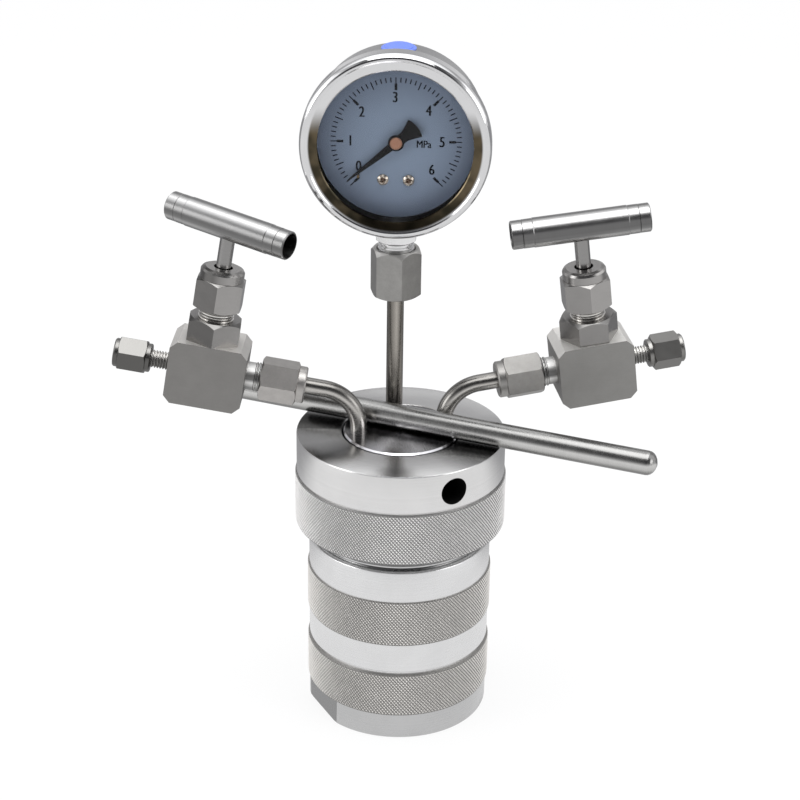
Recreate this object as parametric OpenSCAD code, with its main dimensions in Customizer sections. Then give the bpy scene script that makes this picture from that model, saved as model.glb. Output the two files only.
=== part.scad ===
// Bench-top hydrothermal reactor: a screw-capped steel vessel with a PTFE liner,
// a cover that carries two needle valves and a pressure gauge, and the tommy bar
// that tightens the cap.
// Millimetres, +Z up, origin at the middle of the vessel's base.

/* [Vessel] */
// Diameter of the smooth bands on the vessel
body_d = 69.4; // [66:0.1:74]
// How far each knurled band stands proud of the smooth bands, on radius
knurl_proud = 0.7; // [0.2:0.1:1.2]
// Height of the lowest band, which carries the wrench flats
foot_band_h = 10.4; // [8:0.1:16]
// Height of the lower knurled band
low_knurl_h = 17.6; // [12:0.1:24]
// Height of the relief groove above the lower knurl
relief_h = 1.5; // [0.8:0.1:3]
// Depth of the relief groove, on radius
relief_depth = 0.7; // [0.3:0.1:1.2]
// Height of the smooth band between the knurls
mid_band_h = 11.9; // [8:0.1:18]
// Height of the upper knurled band
top_knurl_h = 18.4; // [12:0.1:24]
// Height of the smooth band under the cap
top_band_h = 12.7; // [8:0.1:18]
// Width across the two wrench flats
flats_w = 65.2; // [62:0.1:67]
// Turn of the wrench flats about the vessel
flats_turn = -62; // [-90:1:90]
// Thickness of the vessel's floor
floor_t = 9; // [6:0.5:14]

/* [Vessel neck] */
// Crest diameter of the neck thread
neck_d = 66; // [64:0.1:67]
// Height of the neck above the top band
neck_h = 18.5; // [14:0.5:24]
// Pitch of the neck thread
neck_pitch = 2; // [1:0.25:3]
// Depth of the neck thread, on radius
neck_thread_depth = 0.9; // [0.4:0.05:1.2]

/* [Liner] */
// Width of the ledge in the neck that the liner's lip sits on, on radius
lip_ledge = 3; // [2:0.5:5]
// Wall of the liner
liner_wall = 6; // [3:0.5:8]
// Thickness of the liner's floor
liner_floor_t = 7; // [4:0.5:10]
// Wall of the neck round the liner's lip, from the crest of the thread
neck_wall = 3; // [2.5:0.1:5]
// Thickness of the lip round the liner's mouth
lip_t = 3; // [2:0.5:5]
// Thickness of the PTFE lid's rim
lid_rim_t = 2.5; // [1.5:0.5:4]
// Depth of the PTFE lid's plug
lid_plug_h = 5; // [3:0.5:10]

/* [Cover] */
// How far the cover's flange stands back from the neck, on radius
cover_ledge = 2; // [1:0.1:2.6]
// Thickness of the cover's flange
cover_t = 8; // [6:0.5:12]
// Diameter of the boss that stands in the cap's opening
boss_d = 43.4; // [40:0.1:48]
// How far the boss stands above the cap
boss_proud = 0.5; // [0.2:0.1:3]
// Radius of the circle that the three ports lie on
port_circle_r = 16.2; // [15:0.1:17]
// Turn of the left and right ports about the vessel
port_turn = 11; // [0:0.5:20]
// Depth of each tube's socket in the boss
port_socket_h = 9; // [5:0.5:14]

/* [Screw cap] */
// Diameter of the cap's smooth upper band
cap_d = 78.6; // [76:0.1:82]
// Diameter of the cap's knurled skirt
cap_knurl_d = 80; // [77:0.1:84]
// Thickness of the cap's top
cap_top_t = 15; // [13:0.5:20]
// Height of the narrow groove between the two bands
cap_groove_h = 0.9; // [0.5:0.1:2]
// Height of the knurled skirt
cap_skirt_h = 20.3; // [14:0.1:26]
// Diameter of the opening in the cap's top
cap_opening_d = 44.6; // [43.8:0.1:52]
// Diameter of the two tommy-bar holes
tommy_hole_d = 10.5; // [9.6:0.1:11]
// Depth of those holes from the cap's side
tommy_hole_depth = 13.5; // [8:0.5:14]
// Turn of the holes about the vessel
tommy_hole_turn = 30; // [-90:1:90]

/* [Tubes] */
// Outside diameter of the steel tubes
tube_d = 6.35; // [5:0.05:6.5]
// Bore of the steel tubes
tube_bore_d = 4; // [2:0.1:4.4]
// Bend radius of the two side tubes, at the tube's middle
bend_r = 15; // [12:0.5:18]
// Height at which each branch's line crosses its port, above the boss
branch_h = 15.2; // [14:0.1:22]
// Distance from a port to the middle of its valve, along the branch
valve_reach = 56.6; // [54:0.1:70]
// Direction of the left branch in plan
left_dir = 178.1; // [172:0.1:186]
// Direction of the right branch in plan
right_dir = 8.7; // [0:0.1:14]
// Rise of the left branch
left_rise = 9.2; // [0:0.1:16]
// Rise of the right branch
right_rise = 7.9; // [0:0.1:16]
// Roll of the left valve about its branch
left_roll = 3.1; // [-8:0.1:8]
// Roll of the right valve about its branch
right_roll = 1.7; // [-8:0.1:8]

/* [Valve blocks] */
// Length of a valve block along the branch
block_l = 28.5; // [26:0.1:32]
// Width of a valve block across the branch
block_w = 21; // [18:0.1:24]
// Height of a valve block
block_h = 24; // [22:0.1:30]
// Chamfer on the block's four long edges
block_chamfer = 2.6; // [0.5:0.1:4]
// Bore of the valve's passages
passage_d = 2.5; // [1.5:0.1:2.8]
// Diameter of the valve seat's throat
throat_d = 2.4; // [1.5:0.1:3]

/* [Inlet fittings] */
// Width across flats of the inlet nut
inlet_nut_af = 14.3; // [13:0.1:16]
// Diameter of the inlet thread
inlet_thread_d = 11; // [10:0.1:11.4]
// Gap between the block and the inlet nut
inlet_gap = 5.4; // [4:0.1:8]
// Length of the inlet nut's hexagon
inlet_hex_l = 14; // [10:0.1:18]
// Length of the round collar on the inlet nut
inlet_collar_l = 3; // [1:0.1:4]
// Turn of the left inlet nut
left_inlet_turn = 30; // [0:0.1:60]
// Turn of the right inlet nut
right_inlet_turn = 55.6; // [0:0.1:60]

/* [Outlet fittings] */
// Diameter of the tube that the outlets take
outlet_tube_d = 3; // [2:0.1:3.2]
// Width across flats of the outlet nut
outlet_nut_af = 11.8; // [10.5:0.1:13]
// Diameter of the outlet thread
outlet_thread_d = 6.6; // [6:0.1:7.6]
// Gap between the block and the outlet nut
outlet_gap = 7; // [4:0.1:9]
// Length of the outlet nut's hexagon
outlet_hex_l = 10.4; // [8:0.1:14]
// Length of each round collar on the outlet nut
outlet_collar_l = 1.7; // [0.8:0.1:3]
// Turn of the left outlet nut
left_outlet_turn = 50.9; // [0:0.1:60]
// Turn of the right outlet nut
right_outlet_turn = 35.7; // [0:0.1:60]

/* [Bonnets and packing] */
// Width across flats of the bonnet
bonnet_af = 19; // [17:0.1:21]
// Height of the bonnet's hexagon
bonnet_hex_h = 8.7; // [6:0.1:12]
// Diameter of the bonnet's nose, which screws into the block
nose_d = 12; // [10:0.1:13]
// Length of the bonnet's nose
nose_h = 7; // [5:0.1:8]
// Diameter of the packing thread on top of the bonnet
packing_thread_d = 13; // [11:0.1:14]
// Pitch of the packing thread
packing_pitch = 1; // [0.75:0.25:1.5]
// Length of packing thread that stays in sight
packing_thread_gap = 3.6; // [2:0.1:6]
// Width across flats of the packing nut
packing_nut_af = 17; // [15:0.1:19]
// Height of the packing nut's hexagon
packing_hex_h = 11.5; // [8:0.1:14]
// Diameter of the collar on top of the packing nut
packing_collar_d = 16.2; // [12:0.1:16.5]
// Height of that collar
packing_collar_h = 4.2; // [2:0.1:6]
// Turn of the left bonnet
left_bonnet_turn = 33.9; // [0:0.1:60]
// Turn of the right bonnet
right_bonnet_turn = 11; // [0:0.1:60]
// Turn of the left packing nut
left_packing_turn = 28; // [0:0.1:60]
// Turn of the right packing nut
right_packing_turn = 28.5; // [0:0.1:60]

/* [Stems and handles] */
// Diameter of the valve stem
stem_d = 5.5; // [4:0.1:6]
// Height of the handle's axis above the block
handle_h = 44; // [36:0.5:56]
// Travel of the needle from shut to open
needle_travel = 3; // [1:0.5:3.5]
// Outside diameter of the T-handle's tube
handle_d = 11; // [8:0.1:14]
// Wall of that tube
handle_wall = 1; // [0.6:0.1:2]
// Length of the T-handle
handle_l = 51; // [40:1:70]
// Length at each end that is turned down
handle_end_l = 8; // [4:0.5:12]
// Turn of the left handle from its branch
left_handle_turn = -27; // [-90:1:90]
// Turn of the right handle from its branch
right_handle_turn = -5; // [-90:1:90]

/* [Gauge mount] */
// Turn of the gauge's port from the left port
gauge_port_turn = -91; // [-100:0.5:-80]
// Height of the adapter nut's lower face above the base
adapter_z = 163.3; // [150:0.1:180]
// Width across flats of the adapter nut
adapter_af = 17; // [16.4:0.1:22]
// Height of the adapter nut
adapter_h = 18.3; // [14:0.1:28]
// Turn of the adapter nut
adapter_turn = 43.5; // [0:0.5:60]
// Diameter of the gauge's screwed shank
shank_d = 13.4; // [10:0.1:13.6]
// Width across flats of the gauge's socket
socket_af = 14.6; // [13:0.1:16]
// Length of the shank's thread that stays in sight above the adapter
shank_gap = 3.4; // [1:0.1:6]
// Length of the socket's hexagon below the gauge's case
socket_l = 9; // [4:0.1:14]

/* [Gauge] */
// Outside diameter of the gauge's case
case_d = 63; // [58:0.5:64]
// Wall of the case
case_wall = 1; // [0.8:0.1:2]
// Distance from the stem's axis to the back of the case
case_back = 8.6; // [8:0.1:14]
// Distance from the stem's axis to the front of the bezel
gauge_front = 19.4; // [17:0.1:24]
// How far the bezel stands out past the case, on radius
bezel_wall = 2.6; // [1.5:0.1:4]
// How far the bezel's lip reaches in over the window, from the case's outside
bezel_lip = 3.8; // [3:0.1:6]
// Clearance between the dial and the inside of the case, on radius
dial_gap = 2.2; // [1:0.1:4]
// Distance from the stem's axis to the dial's face
dial_front = 10.5; // [9:0.1:11]
// Angle of the pointer at rest, counter-clockwise from three o'clock
pointer_rest = 220; // [216:1:226]
// Length of the pointer from its hub to its tip
pointer_l = 22.8; // [18:0.1:24]
// Turn of the whole gauge about its stem
gauge_turn = -2.5; // [-20:0.5:20]
// Diameter of the fill plug on top of the case
fill_plug_d = 12.6; // [8:0.1:14]

/* [Tommy bar] */
// Diameter of the tommy bar
bar_d = 9; // [7:0.1:9]
// Length of the bar to the right of the vessel's axis
bar_right_l = 99; // [70:1:120]
// Length of the bar to the left of the vessel's axis
bar_left_l = 91; // [70:1:120]
// Direction in plan of the bar's right half
bar_dir = -21.9; // [-24:0.1:-20]
// How far behind the vessel's axis the bar crosses
bar_back = 0.75; // [0.6:0.05:0.9]

/* [Fits] */
// Radial clearance of screwed and sliding steel parts
fit = 0.05; // [0.02:0.01:0.1]
// Radial clearance of the liner in the vessel
liner_fit = 0.2; // [0.1:0.05:0.4]
// Radial clearance of the cap's thread on the neck
cap_fit = 0.3; // [0.25:0.05:0.5]
// Gap left between faces that turn or seat on each other
face_gap = 0.1; // [0.05:0.05:0.3]

/* [Hidden] */
$fn = 96;
eps = 0.01;

// Vessel heights, from the base up
low_knurl_z = foot_band_h;
relief_z = low_knurl_z + low_knurl_h;
mid_band_z = relief_z + relief_h;
top_knurl_z = mid_band_z + mid_band_h;
top_band_z = top_knurl_z + top_knurl_h;
shoulder_z = top_band_z + top_band_h;
neck_top_z = shoulder_z + neck_h;
body_r = body_d / 2;
knurl_r = body_r + knurl_proud;
knurl_chamfer = 0.4;
edge_chamfer = 0.6;

// Liner, lid and cover, seated one on another in the neck
lip_d = neck_d - 2 * neck_wall;
liner_d = lip_d - 2 * lip_ledge;
cover_d = neck_d - 2 * cover_ledge;
seal_squeeze = 0.5;
mouth_depth = lip_t + lid_rim_t - seal_squeeze;
lip_z = neck_top_z - mouth_depth;
lid_z = lip_z + lip_t;
cover_z = lid_z + lid_rim_t;
cap_ceiling_z = cover_z + cover_t + face_gap;
cap_top_z = cap_ceiling_z + cap_top_t;
boss_top_z = cap_top_z + boss_proud;
liner_bottom_z = floor_t + liner_fit;
liner_bore_d = liner_d - 2 * liner_wall;

// Cap
cap_groove_z = cap_ceiling_z - cap_groove_h;
cap_bottom_z = cap_groove_z - cap_skirt_h;
cap_bore_d = neck_d + 2 * cap_fit;
tommy_z = (cap_ceiling_z + cap_top_z) / 2 - 0.5;

// Ports, left then right then gauge
port_turns = [180 + port_turn, port_turn, 180 + port_turn + gauge_port_turn];

// Left and right
branch_dirs = [left_dir, right_dir];
branch_rises = [left_rise, right_rise];
branch_rolls = [left_roll, right_roll];
inlet_nut_turns = [left_inlet_turn, right_inlet_turn];
outlet_nut_turns = [left_outlet_turn, right_outlet_turn];
bonnet_turns = [left_bonnet_turn, right_bonnet_turn];
packing_nut_turns = [left_packing_turn, right_packing_turn];
handle_turns = [left_handle_turn, right_handle_turn];

// Valves, in a frame with X out along the branch, Z along the stem and the
// origin in the middle of the block
block_top = block_h / 2;
inlet_nut_x = -(block_l / 2 + inlet_gap);
outlet_nut_x = block_l / 2 + outlet_gap;
thread_z = block_top + bonnet_hex_h;
packing_nut_z = thread_z + packing_thread_gap;
packing_top_z = packing_nut_z + packing_hex_h + packing_collar_h;
handle_z = block_top + handle_h;
seat_z = 3;
chamber_d = 7;
tube_socket_depth = 8;
inlet_plain_l = 3.2;
inlet_pitch = 1;
inlet_screw_l = 9;
inlet_body_x = inlet_nut_x - inlet_screw_l;
inlet_socket_x = inlet_body_x + tube_socket_depth;
outlet_pitch = 1;
outlet_screw_l = 7;
outlet_body_x = outlet_nut_x + outlet_screw_l;
outlet_socket_x = outlet_body_x - 6;
ferrule_seat_l = 3;
ferrule_t = 0.9;
ferrule_gap = 1.4;
seat_cone_h = 0.8;
stem_z = seat_z + 5;
needle_pin_d = 2.4;
needle_pin_h = 3;
packing_screw_l = 8;
packing_box_d = 9.6;
packing_z = packing_nut_z + packing_screw_l - 5;
packing_h = 3;
gland_rise = 1.2;
stem_hole_fit = 0.75;

// Gauge, in a frame with Z up, -Y out of the dial and the origin on the dial's centre
adapter_top_z = adapter_z + adapter_h;
gauge_z = adapter_top_z + shank_gap + socket_l + case_d / 2;
case_r = case_d / 2;
bezel_d = case_d + 2 * bezel_wall;
sight_d = case_d - 2 * bezel_lip;
dial_d = case_d - 2 * case_wall - 2 * dial_gap;
window_t = 2.5;
window_gasket_t = 1.2;
lip_depth = 1.8;
window_front = gauge_front - lip_depth;
case_front = window_front - window_t - window_gasket_t;
dial_t = 0.8;
dial_screw_x = 4.6;
dial_screw_y = 14.2;
dial_screw_d = 2.2;
bezel_skirt = 3.4;
adapter_socket_h = 6;
adapter_web_t = 2;
adapter_bore_h = adapter_h - adapter_socket_h - adapter_web_t;
adapter_mouth_h = 1;
gasket_t = 1.5;
socket_neck_d = 12;
socket_block_w = 12;
socket_block_top = -17;
plug_neck_d = 10;
plug_proud = 0.4;
bourdon_r = 22;
bourdon_t = 2.2;
bourdon_w = 6;
bourdon_tip_turn = 8;
bourdon_foot_z = -bourdon_r;
arbor_d = 1.4;
arbor_foot = -1;
back_plate_z = 0.5;
pinion_z = 3.5;
pinion_h = 2.5;
pinion_r = 1.6;
blade_z = dial_front + 1.6;
blade_t = 0.5;
hub_r = 2.2;
tail_r = 9.7;
stop_pin_r = 18.5;
stop_pin_d = 1;
stop_gap = 0.65;

bar_z = boss_top_z + face_gap + bar_d / 2;

steel = [0.74, 0.74, 0.73];
bright_steel = [0.86, 0.86, 0.87];
ptfe = [0.96, 0.96, 0.94];
brass = [0.78, 0.62, 0.32];

// ---------------------------------------------------------------- helpers

// A turned piece: the outline is a list of [radius, height] points.
module turned(outline) {
    rotate_extrude() polygon(outline);
}

// A turned piece whose axis lies along X.
module turned_x(outline) {
    rotate([0, 90, 0]) turned(outline);
}

// A cylinder along X from x1 to x2.
module rod_x(d, x1, x2) {
    translate([x1, 0, 0]) rotate([0, 90, 0]) cylinder(d = d, h = x2 - x1);
}

// A hexagonal bar that stands on z = 0, with both ends chamfered to a circle.
// A chamfer of 0 leaves that end square.
module hex_bar(af, h, bottom = 1, top = 1, turn = 0) {
    corner_r = af / sqrt(3);
    flat_r = af / 2 - 0.2;
    wide_r = corner_r + 1;
    rise = (wide_r - flat_r) * tan(30);
    intersection() {
        rotate([0, 0, turn]) cylinder(r = corner_r, h = h, $fn = 6);
        turned(concat([[0, 0]],
            bottom > 0 ? [[flat_r, 0], [wide_r, bottom * rise]] : [[wide_r, 0]],
            top > 0 ? [[wide_r, h - top * rise], [flat_r, h]] : [[wide_r, h]],
            [[0, h]]));
    }
}

// The outline of a row of 60 degree thread ridges, from z1 up to z2, as
// [radius, height] points. Outside threads have root < crest.
function ridges(crest, root, pitch, z1, z2) =
    let (n = max(1, floor((z2 - z1) / pitch)), p = (z2 - z1) / n)
    [for (i = [0 : n - 1]) each [
        [root, z1 + i * p], [root, z1 + (i + 0.15) * p],
        [crest, z1 + (i + 0.45) * p], [crest, z1 + (i + 0.7) * p], [root, z1 + (i + 1) * p]]];

// Moves the children to port i, with +X pointing out along its branch.
module at_port(i, dir) {
    translate([port_circle_r * cos(port_turns[i]), port_circle_r * sin(port_turns[i]), 0])
        rotate([0, 0, dir]) children();
}

// Moves the children from the valve frame to valve i.
module at_valve(i) {
    at_port(i, branch_dirs[i])
        translate([0, 0, boss_top_z + branch_h])
            rotate([0, -branch_rises[i], 0])
                translate([valve_reach, 0, 0]) rotate([branch_rolls[i], 0, 0]) children();
}

// Moves the children from the gauge frame to the gauge.
module at_gauge() {
    at_port(2, gauge_turn) translate([0, 0, gauge_z]) children();
}

// Turns a piece made along Z so that its +Z points out of the dial.
module facing() {
    rotate([90, 0, 0]) children();
}

// ---------------------------------------------------------------- vessel

module vessel_body() {
    neck_r = neck_d / 2;
    root_r = neck_r - neck_thread_depth;
    mouth_r = lip_d / 2 + liner_fit;
    bore_r = liner_d / 2 + liner_fit;
    color(steel) difference() {
        turned(concat(
            [[0, 0], [body_r - edge_chamfer, 0], [body_r, edge_chamfer], [body_r, low_knurl_z],
            [knurl_r - knurl_chamfer, low_knurl_z], [knurl_r, low_knurl_z + knurl_chamfer],
            [knurl_r, relief_z - knurl_chamfer], [knurl_r - knurl_chamfer, relief_z],
            [body_r - relief_depth, relief_z], [body_r - relief_depth, mid_band_z],
            [body_r, mid_band_z], [body_r, top_knurl_z],
            [knurl_r - knurl_chamfer, top_knurl_z], [knurl_r, top_knurl_z + knurl_chamfer],
            [knurl_r, top_band_z - knurl_chamfer], [knurl_r - knurl_chamfer, top_band_z],
            [body_r, top_band_z], [body_r, shoulder_z - edge_chamfer],
            [body_r - edge_chamfer, shoulder_z], [root_r, shoulder_z]],
            ridges(neck_r, root_r, neck_pitch, shoulder_z + 0.3, neck_top_z - neck_pitch),
            [[root_r, neck_top_z], [mouth_r, neck_top_z], [mouth_r, lip_z],
            [bore_r, lip_z], [bore_r, floor_t], [0, floor_t]]));
        for (side = [-1, 1])
            rotate([0, 0, flats_turn])
                translate([-body_r, side * (flats_w / 2 + body_r / 2) - body_r / 2, -eps])
                    cube([body_d, body_r, foot_band_h + knurl_chamfer / 2]);
    }
}

module liner_cup() {
    r = liner_d / 2;
    color(ptfe) turned([[0, liner_bottom_z], [r - 1, liner_bottom_z], [r, liner_bottom_z + 1],
        [r, lip_z], [lip_d / 2, lip_z], [lip_d / 2, lid_z], [liner_bore_d / 2, lid_z],
        [liner_bore_d / 2, liner_bottom_z + liner_floor_t + 2],
        [liner_bore_d / 2 - 2, liner_bottom_z + liner_floor_t],
        [0, liner_bottom_z + liner_floor_t]]);
}

// ---------------------------------------------------------------- cover

module liner_lid() {
    plug_r = liner_bore_d / 2 - liner_fit;
    color(ptfe) difference() {
        turned([[0, lid_z - lid_plug_h], [plug_r - 0.8, lid_z - lid_plug_h],
            [plug_r, lid_z - lid_plug_h + 0.8], [plug_r, lid_z + face_gap],
            [lip_d / 2, lid_z + face_gap], [lip_d / 2, cover_z], [0, cover_z]]);
        for (i = [0 : 2]) at_port(i, 0)
            translate([0, 0, lid_z - lid_plug_h - eps])
                cylinder(d = tube_bore_d, h = lid_plug_h + lid_rim_t + 2 * eps);
    }
}

module cover() {
    color(bright_steel) difference() {
        turned([[0, cover_z], [cover_d / 2 - edge_chamfer, cover_z],
            [cover_d / 2, cover_z + edge_chamfer], [cover_d / 2, cover_z + cover_t],
            [boss_d / 2, cover_z + cover_t], [boss_d / 2, boss_top_z - edge_chamfer],
            [boss_d / 2 - edge_chamfer, boss_top_z], [0, boss_top_z]]);
        for (i = [0 : 2]) at_port(i, 0) {
            translate([0, 0, boss_top_z - port_socket_h])
                cylinder(d = tube_d + 2 * fit, h = port_socket_h + eps);
            translate([0, 0, cover_z - eps])
                cylinder(d = tube_bore_d, h = boss_top_z - cover_z);
        }
    }
}

// ---------------------------------------------------------------- screw cap

module screw_cap() {
    cap_r = cap_d / 2;
    skirt_r = cap_knurl_d / 2;
    bore_r = cap_bore_d / 2;
    root_r = bore_r + neck_thread_depth;
    lead_in = 1.5;
    undercut_h = 3;
    color(steel) difference() {
        turned(concat(
            [[skirt_r - lead_in, cap_bottom_z], [skirt_r, cap_bottom_z + lead_in],
            [skirt_r, cap_groove_z - knurl_chamfer], [skirt_r - knurl_chamfer, cap_groove_z],
            [cap_r - 0.5, cap_groove_z], [cap_r - 0.5, cap_groove_z + cap_groove_h],
            [cap_r, cap_groove_z + cap_groove_h], [cap_r, cap_top_z - edge_chamfer],
            [cap_r - edge_chamfer, cap_top_z],
            [cap_opening_d / 2 + edge_chamfer / 2, cap_top_z],
            [cap_opening_d / 2, cap_top_z - edge_chamfer / 2],
            [cap_opening_d / 2, cap_ceiling_z], [root_r, cap_ceiling_z],
            [root_r, cap_ceiling_z - undercut_h]],
            [for (p = ridges(-bore_r, -root_r, neck_pitch,
                -(cap_ceiling_z - undercut_h), -(cap_bottom_z + lead_in))) [-p[0], -p[1]]],
            [[root_r, cap_bottom_z]]));
        for (turn = [tommy_hole_turn, tommy_hole_turn + 180])
            rotate([0, 0, turn]) translate([0, -cap_r + tommy_hole_depth, tommy_z])
                rotate([90, 0, 0]) cylinder(d = tommy_hole_d, h = cap_r);
    }
}

// A bar with rounded ends, laid across the boss between the tubes.
module tommy_bar() {
    r = bar_d / 2;
    nose = r * 0.8;
    color(steel) translate([0, bar_back, bar_z]) rotate([0, 0, bar_dir]) union() {
        rod_x(bar_d, -bar_left_l + nose, bar_right_l - nose);
        for (tip = [[bar_right_l, 0], [-bar_left_l, 180]])
            translate([tip[0], 0, 0]) rotate([0, 0, tip[1]])
                turned_x(concat([[0, -nose - eps], [r, -nose - eps]],
                    [for (a = [0 : 15 : 75]) [r * cos(a), -nose + nose * sin(a)]],
                    [[r * 0.2, 0], [0, 0]]));
    }
}

// ---------------------------------------------------------------- tubes

// The tube's section: a ring.
module tube_section() {
    difference() {
        circle(d = tube_d);
        circle(d = tube_bore_d);
    }
}

// A rod that rises out of a port, bends and runs on along the branch. Its bend
// is drawn a hair thinner, as a bent tube's is, so that it ends inside the straights.
module bent_rod(i, d, foot, end) {
    rise = branch_rises[i];
    sweep = 90 - rise;
    tangent = bend_r * tan(sweep / 2);
    bend_z = boss_top_z + branch_h - tangent;
    lap = 0.25;
    union() {
        translate([0, 0, foot]) cylinder(d = d, h = bend_z - foot + lap);
        translate([bend_r, 0, bend_z]) rotate([90, 0, 0])
            rotate_extrude(angle = sweep, start = 90 + rise) translate([bend_r, 0]) circle(d = d - 0.04);
        translate([0, 0, boss_top_z + branch_h]) rotate([0, 90 - rise, 0])
            translate([0, 0, tangent - lap]) cylinder(d = d, h = end - tangent + lap);
    }
}

module branch_tube(i) {
    foot = boss_top_z - port_socket_h + face_gap;
    end = valve_reach + inlet_socket_x - face_gap;
    color(steel) at_port(i, branch_dirs[i]) difference() {
        bent_rod(i, tube_d, foot, end);
        bent_rod(i, tube_bore_d, foot - 1, end + 1);
    }
}

module gauge_tube() {
    foot = boss_top_z - port_socket_h + face_gap;
    top = adapter_z + adapter_socket_h - face_gap;
    color(steel) at_port(2, 0) translate([0, 0, foot]) linear_extrude(top - foot) tube_section();
}

// ---------------------------------------------------------------- valves

// A length of screw thread along X.
module thread_x(d, x1, x2, pitch) {
    depth = 0.54 * pitch;
    turned_x(concat([[0, x1]], ridges(d / 2, d / 2 - depth, pitch, x1, x2), [[0, x2]]));
}

// The square body with its two screwed ends, drilled as an angle-seat valve:
// in along the branch, up through the throat and down again to the outlet.
module block(i) {
    half = block_l / 2;
    drop = seat_z + passage_d * 0.4;
    outlet_slope = atan(drop / half);
    color(steel) difference() {
        union() {
            rotate([90, 0, 0]) linear_extrude(block_w, center = true)
                polygon([for (c = [[1, 1], [-1, 1], [-1, -1], [1, -1]])
                    for (k = c[0] * c[1] > 0 ? [0, 1] : [1, 0])
                    [c[0] * (half - k * block_chamfer), c[1] * (block_top - (1 - k) * block_chamfer)]]);
            rod_x(inlet_thread_d - 0.7, -half - inlet_plain_l, -half + 1);
            thread_x(inlet_thread_d, inlet_body_x, -half - inlet_plain_l + eps, inlet_pitch);
            thread_x(outlet_thread_d, half - 0.5, outlet_body_x, outlet_pitch);
        }
        // inlet
        rod_x(passage_d, inlet_body_x - eps, passage_d / 2);
        rod_x(tube_d + 2 * fit, inlet_body_x - eps, inlet_socket_x);
        mouth(inlet_body_x, tube_d + 2 * fit, -1);
        // throat, seat and chamber
        cylinder(d = throat_d, h = seat_z + eps);
        translate([0, 0, seat_z - seat_cone_h])
            cylinder(d1 = throat_d, d2 = throat_d + 2 * seat_cone_h, h = seat_cone_h + eps);
        translate([0, 0, seat_z]) cylinder(d = chamber_d, h = block_top);
        translate([0, 0, block_top - nose_h - face_gap]) cylinder(d = nose_d + 2 * fit, h = block_h);
        // outlet
        translate([chamber_d / 4, 0, seat_z + passage_d / 3]) rotate([0, outlet_slope, 0])
            rod_x(passage_d, 0, half - chamber_d / 4);
        rod_x(passage_d * 0.8, half - 3, outlet_body_x);
        rod_x(outlet_tube_d + 2 * fit, outlet_socket_x, outlet_body_x + eps);
        mouth(outlet_body_x, outlet_tube_d + 2 * fit, 1);
    }
}

// The cone in a fitting's mouth that the front ferrule wedges into. The fitting
// ends at x, and side is +1 or -1 for the way that it faces.
module mouth(x, d, side) {
    translate([x - side * ferrule_seat_l, 0, 0]) rotate([0, side * 90, 0])
        cylinder(d1 = d, d2 = d + 2 * ferrule_t, h = ferrule_seat_l + eps);
}

// Front and back ferrule on the tube, wedged between a fitting's mouth and its nut.
module ferrules(x, bore, side) {
    in_r = bore / 2 + fit;
    front = ferrule_seat_l * 0.6;
    color(bright_steel) translate([x, 0, 0]) rotate([0, side * 90, 0]) {
        turned([[in_r, -front], [in_r + ferrule_t * 0.35, -front],
            [in_r + ferrule_t * 0.9, 0], [in_r + ferrule_t * 0.9, ferrule_gap - face_gap],
            [in_r, ferrule_gap - face_gap]]);
        turned([[in_r, ferrule_gap], [in_r + ferrule_t * 0.6, ferrule_gap],
            [in_r + ferrule_t * 0.8, 2 * ferrule_gap - face_gap], [in_r, 2 * ferrule_gap - face_gap]]);
    }
}

module inlet_nut(i) {
    length = inlet_hex_l + inlet_collar_l;
    screw_end = inlet_nut_x - inlet_body_x + face_gap;
    collar_r = inlet_nut_af / 2 - 0.3;
    color(bright_steel) translate([inlet_nut_x, 0, 0]) rotate([0, -90, 0])
        nut(inlet_nut_af, inlet_hex_l, 180 - inlet_nut_turns[i], 0, inlet_collar_l, collar_r,
            inlet_thread_d + 2 * fit, screw_end, tube_d);
}

module outlet_nut(i) {
    screw_end = outlet_body_x - outlet_nut_x + face_gap;
    color(bright_steel) translate([outlet_nut_x, 0, 0]) rotate([0, 90, 0])
        nut(outlet_nut_af, outlet_hex_l, outlet_nut_turns[i], outlet_collar_l, outlet_collar_l,
            outlet_nut_af / 2 - 0.6, outlet_thread_d + 2 * fit, screw_end, outlet_tube_d);
}

// A compression nut that stands on z = 0 with its thread at the bottom: a round
// collar, the hexagon and a second collar, bored for the tube at the top.
module nut(af, hex_h, turn, low_collar_h, high_collar_h, collar_r, bore, bore_h, tube) {
    top = low_collar_h + hex_h + high_collar_h;
    cone_h = bore_h + 2 * ferrule_gap;
    difference() {
        union() {
            translate([0, 0, low_collar_h]) hex_bar(af, hex_h, 1, 1, turn);
            turned([[0, 0], [collar_r - 0.3, 0], [collar_r, 0.3], [collar_r, top - 0.5],
                [collar_r - 0.5, top], [0, top]]);
        }
        translate([0, 0, -eps]) cylinder(d = bore, h = bore_h);
        translate([0, 0, bore_h - 2 * eps])
            cylinder(d1 = bore, d2 = tube + 2 * ferrule_t, h = 2 * ferrule_gap + 2 * eps);
        translate([0, 0, cone_h - eps]) cylinder(d = tube + 2 * fit, h = top);
    }
}

module bonnet(i) {
    top = packing_nut_z + packing_screw_l;
    color(steel) difference() {
        union() {
            translate([0, 0, block_top - nose_h]) cylinder(d = nose_d, h = nose_h + 1);
            translate([0, 0, block_top]) hex_bar(bonnet_af, bonnet_hex_h, 0, 1.5, bonnet_turns[i]);
            turned(concat([[0, thread_z - 1]],
                ridges(packing_thread_d / 2, packing_thread_d / 2 - 0.54 * packing_pitch,
                    packing_pitch, thread_z - 0.5, top), [[0, top]]));
        }
        cylinder(d = stem_d + 2 * fit, h = top + eps);
        translate([0, 0, packing_z]) cylinder(d = packing_box_d, h = packing_screw_l);
    }
}

module packing() {
    color(ptfe) turned([[stem_d / 2 + fit, packing_z], [packing_box_d / 2 - fit, packing_z],
        [packing_box_d / 2 - fit, packing_z + packing_h], [stem_d / 2 + fit, packing_z + packing_h]]);
}

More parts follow.
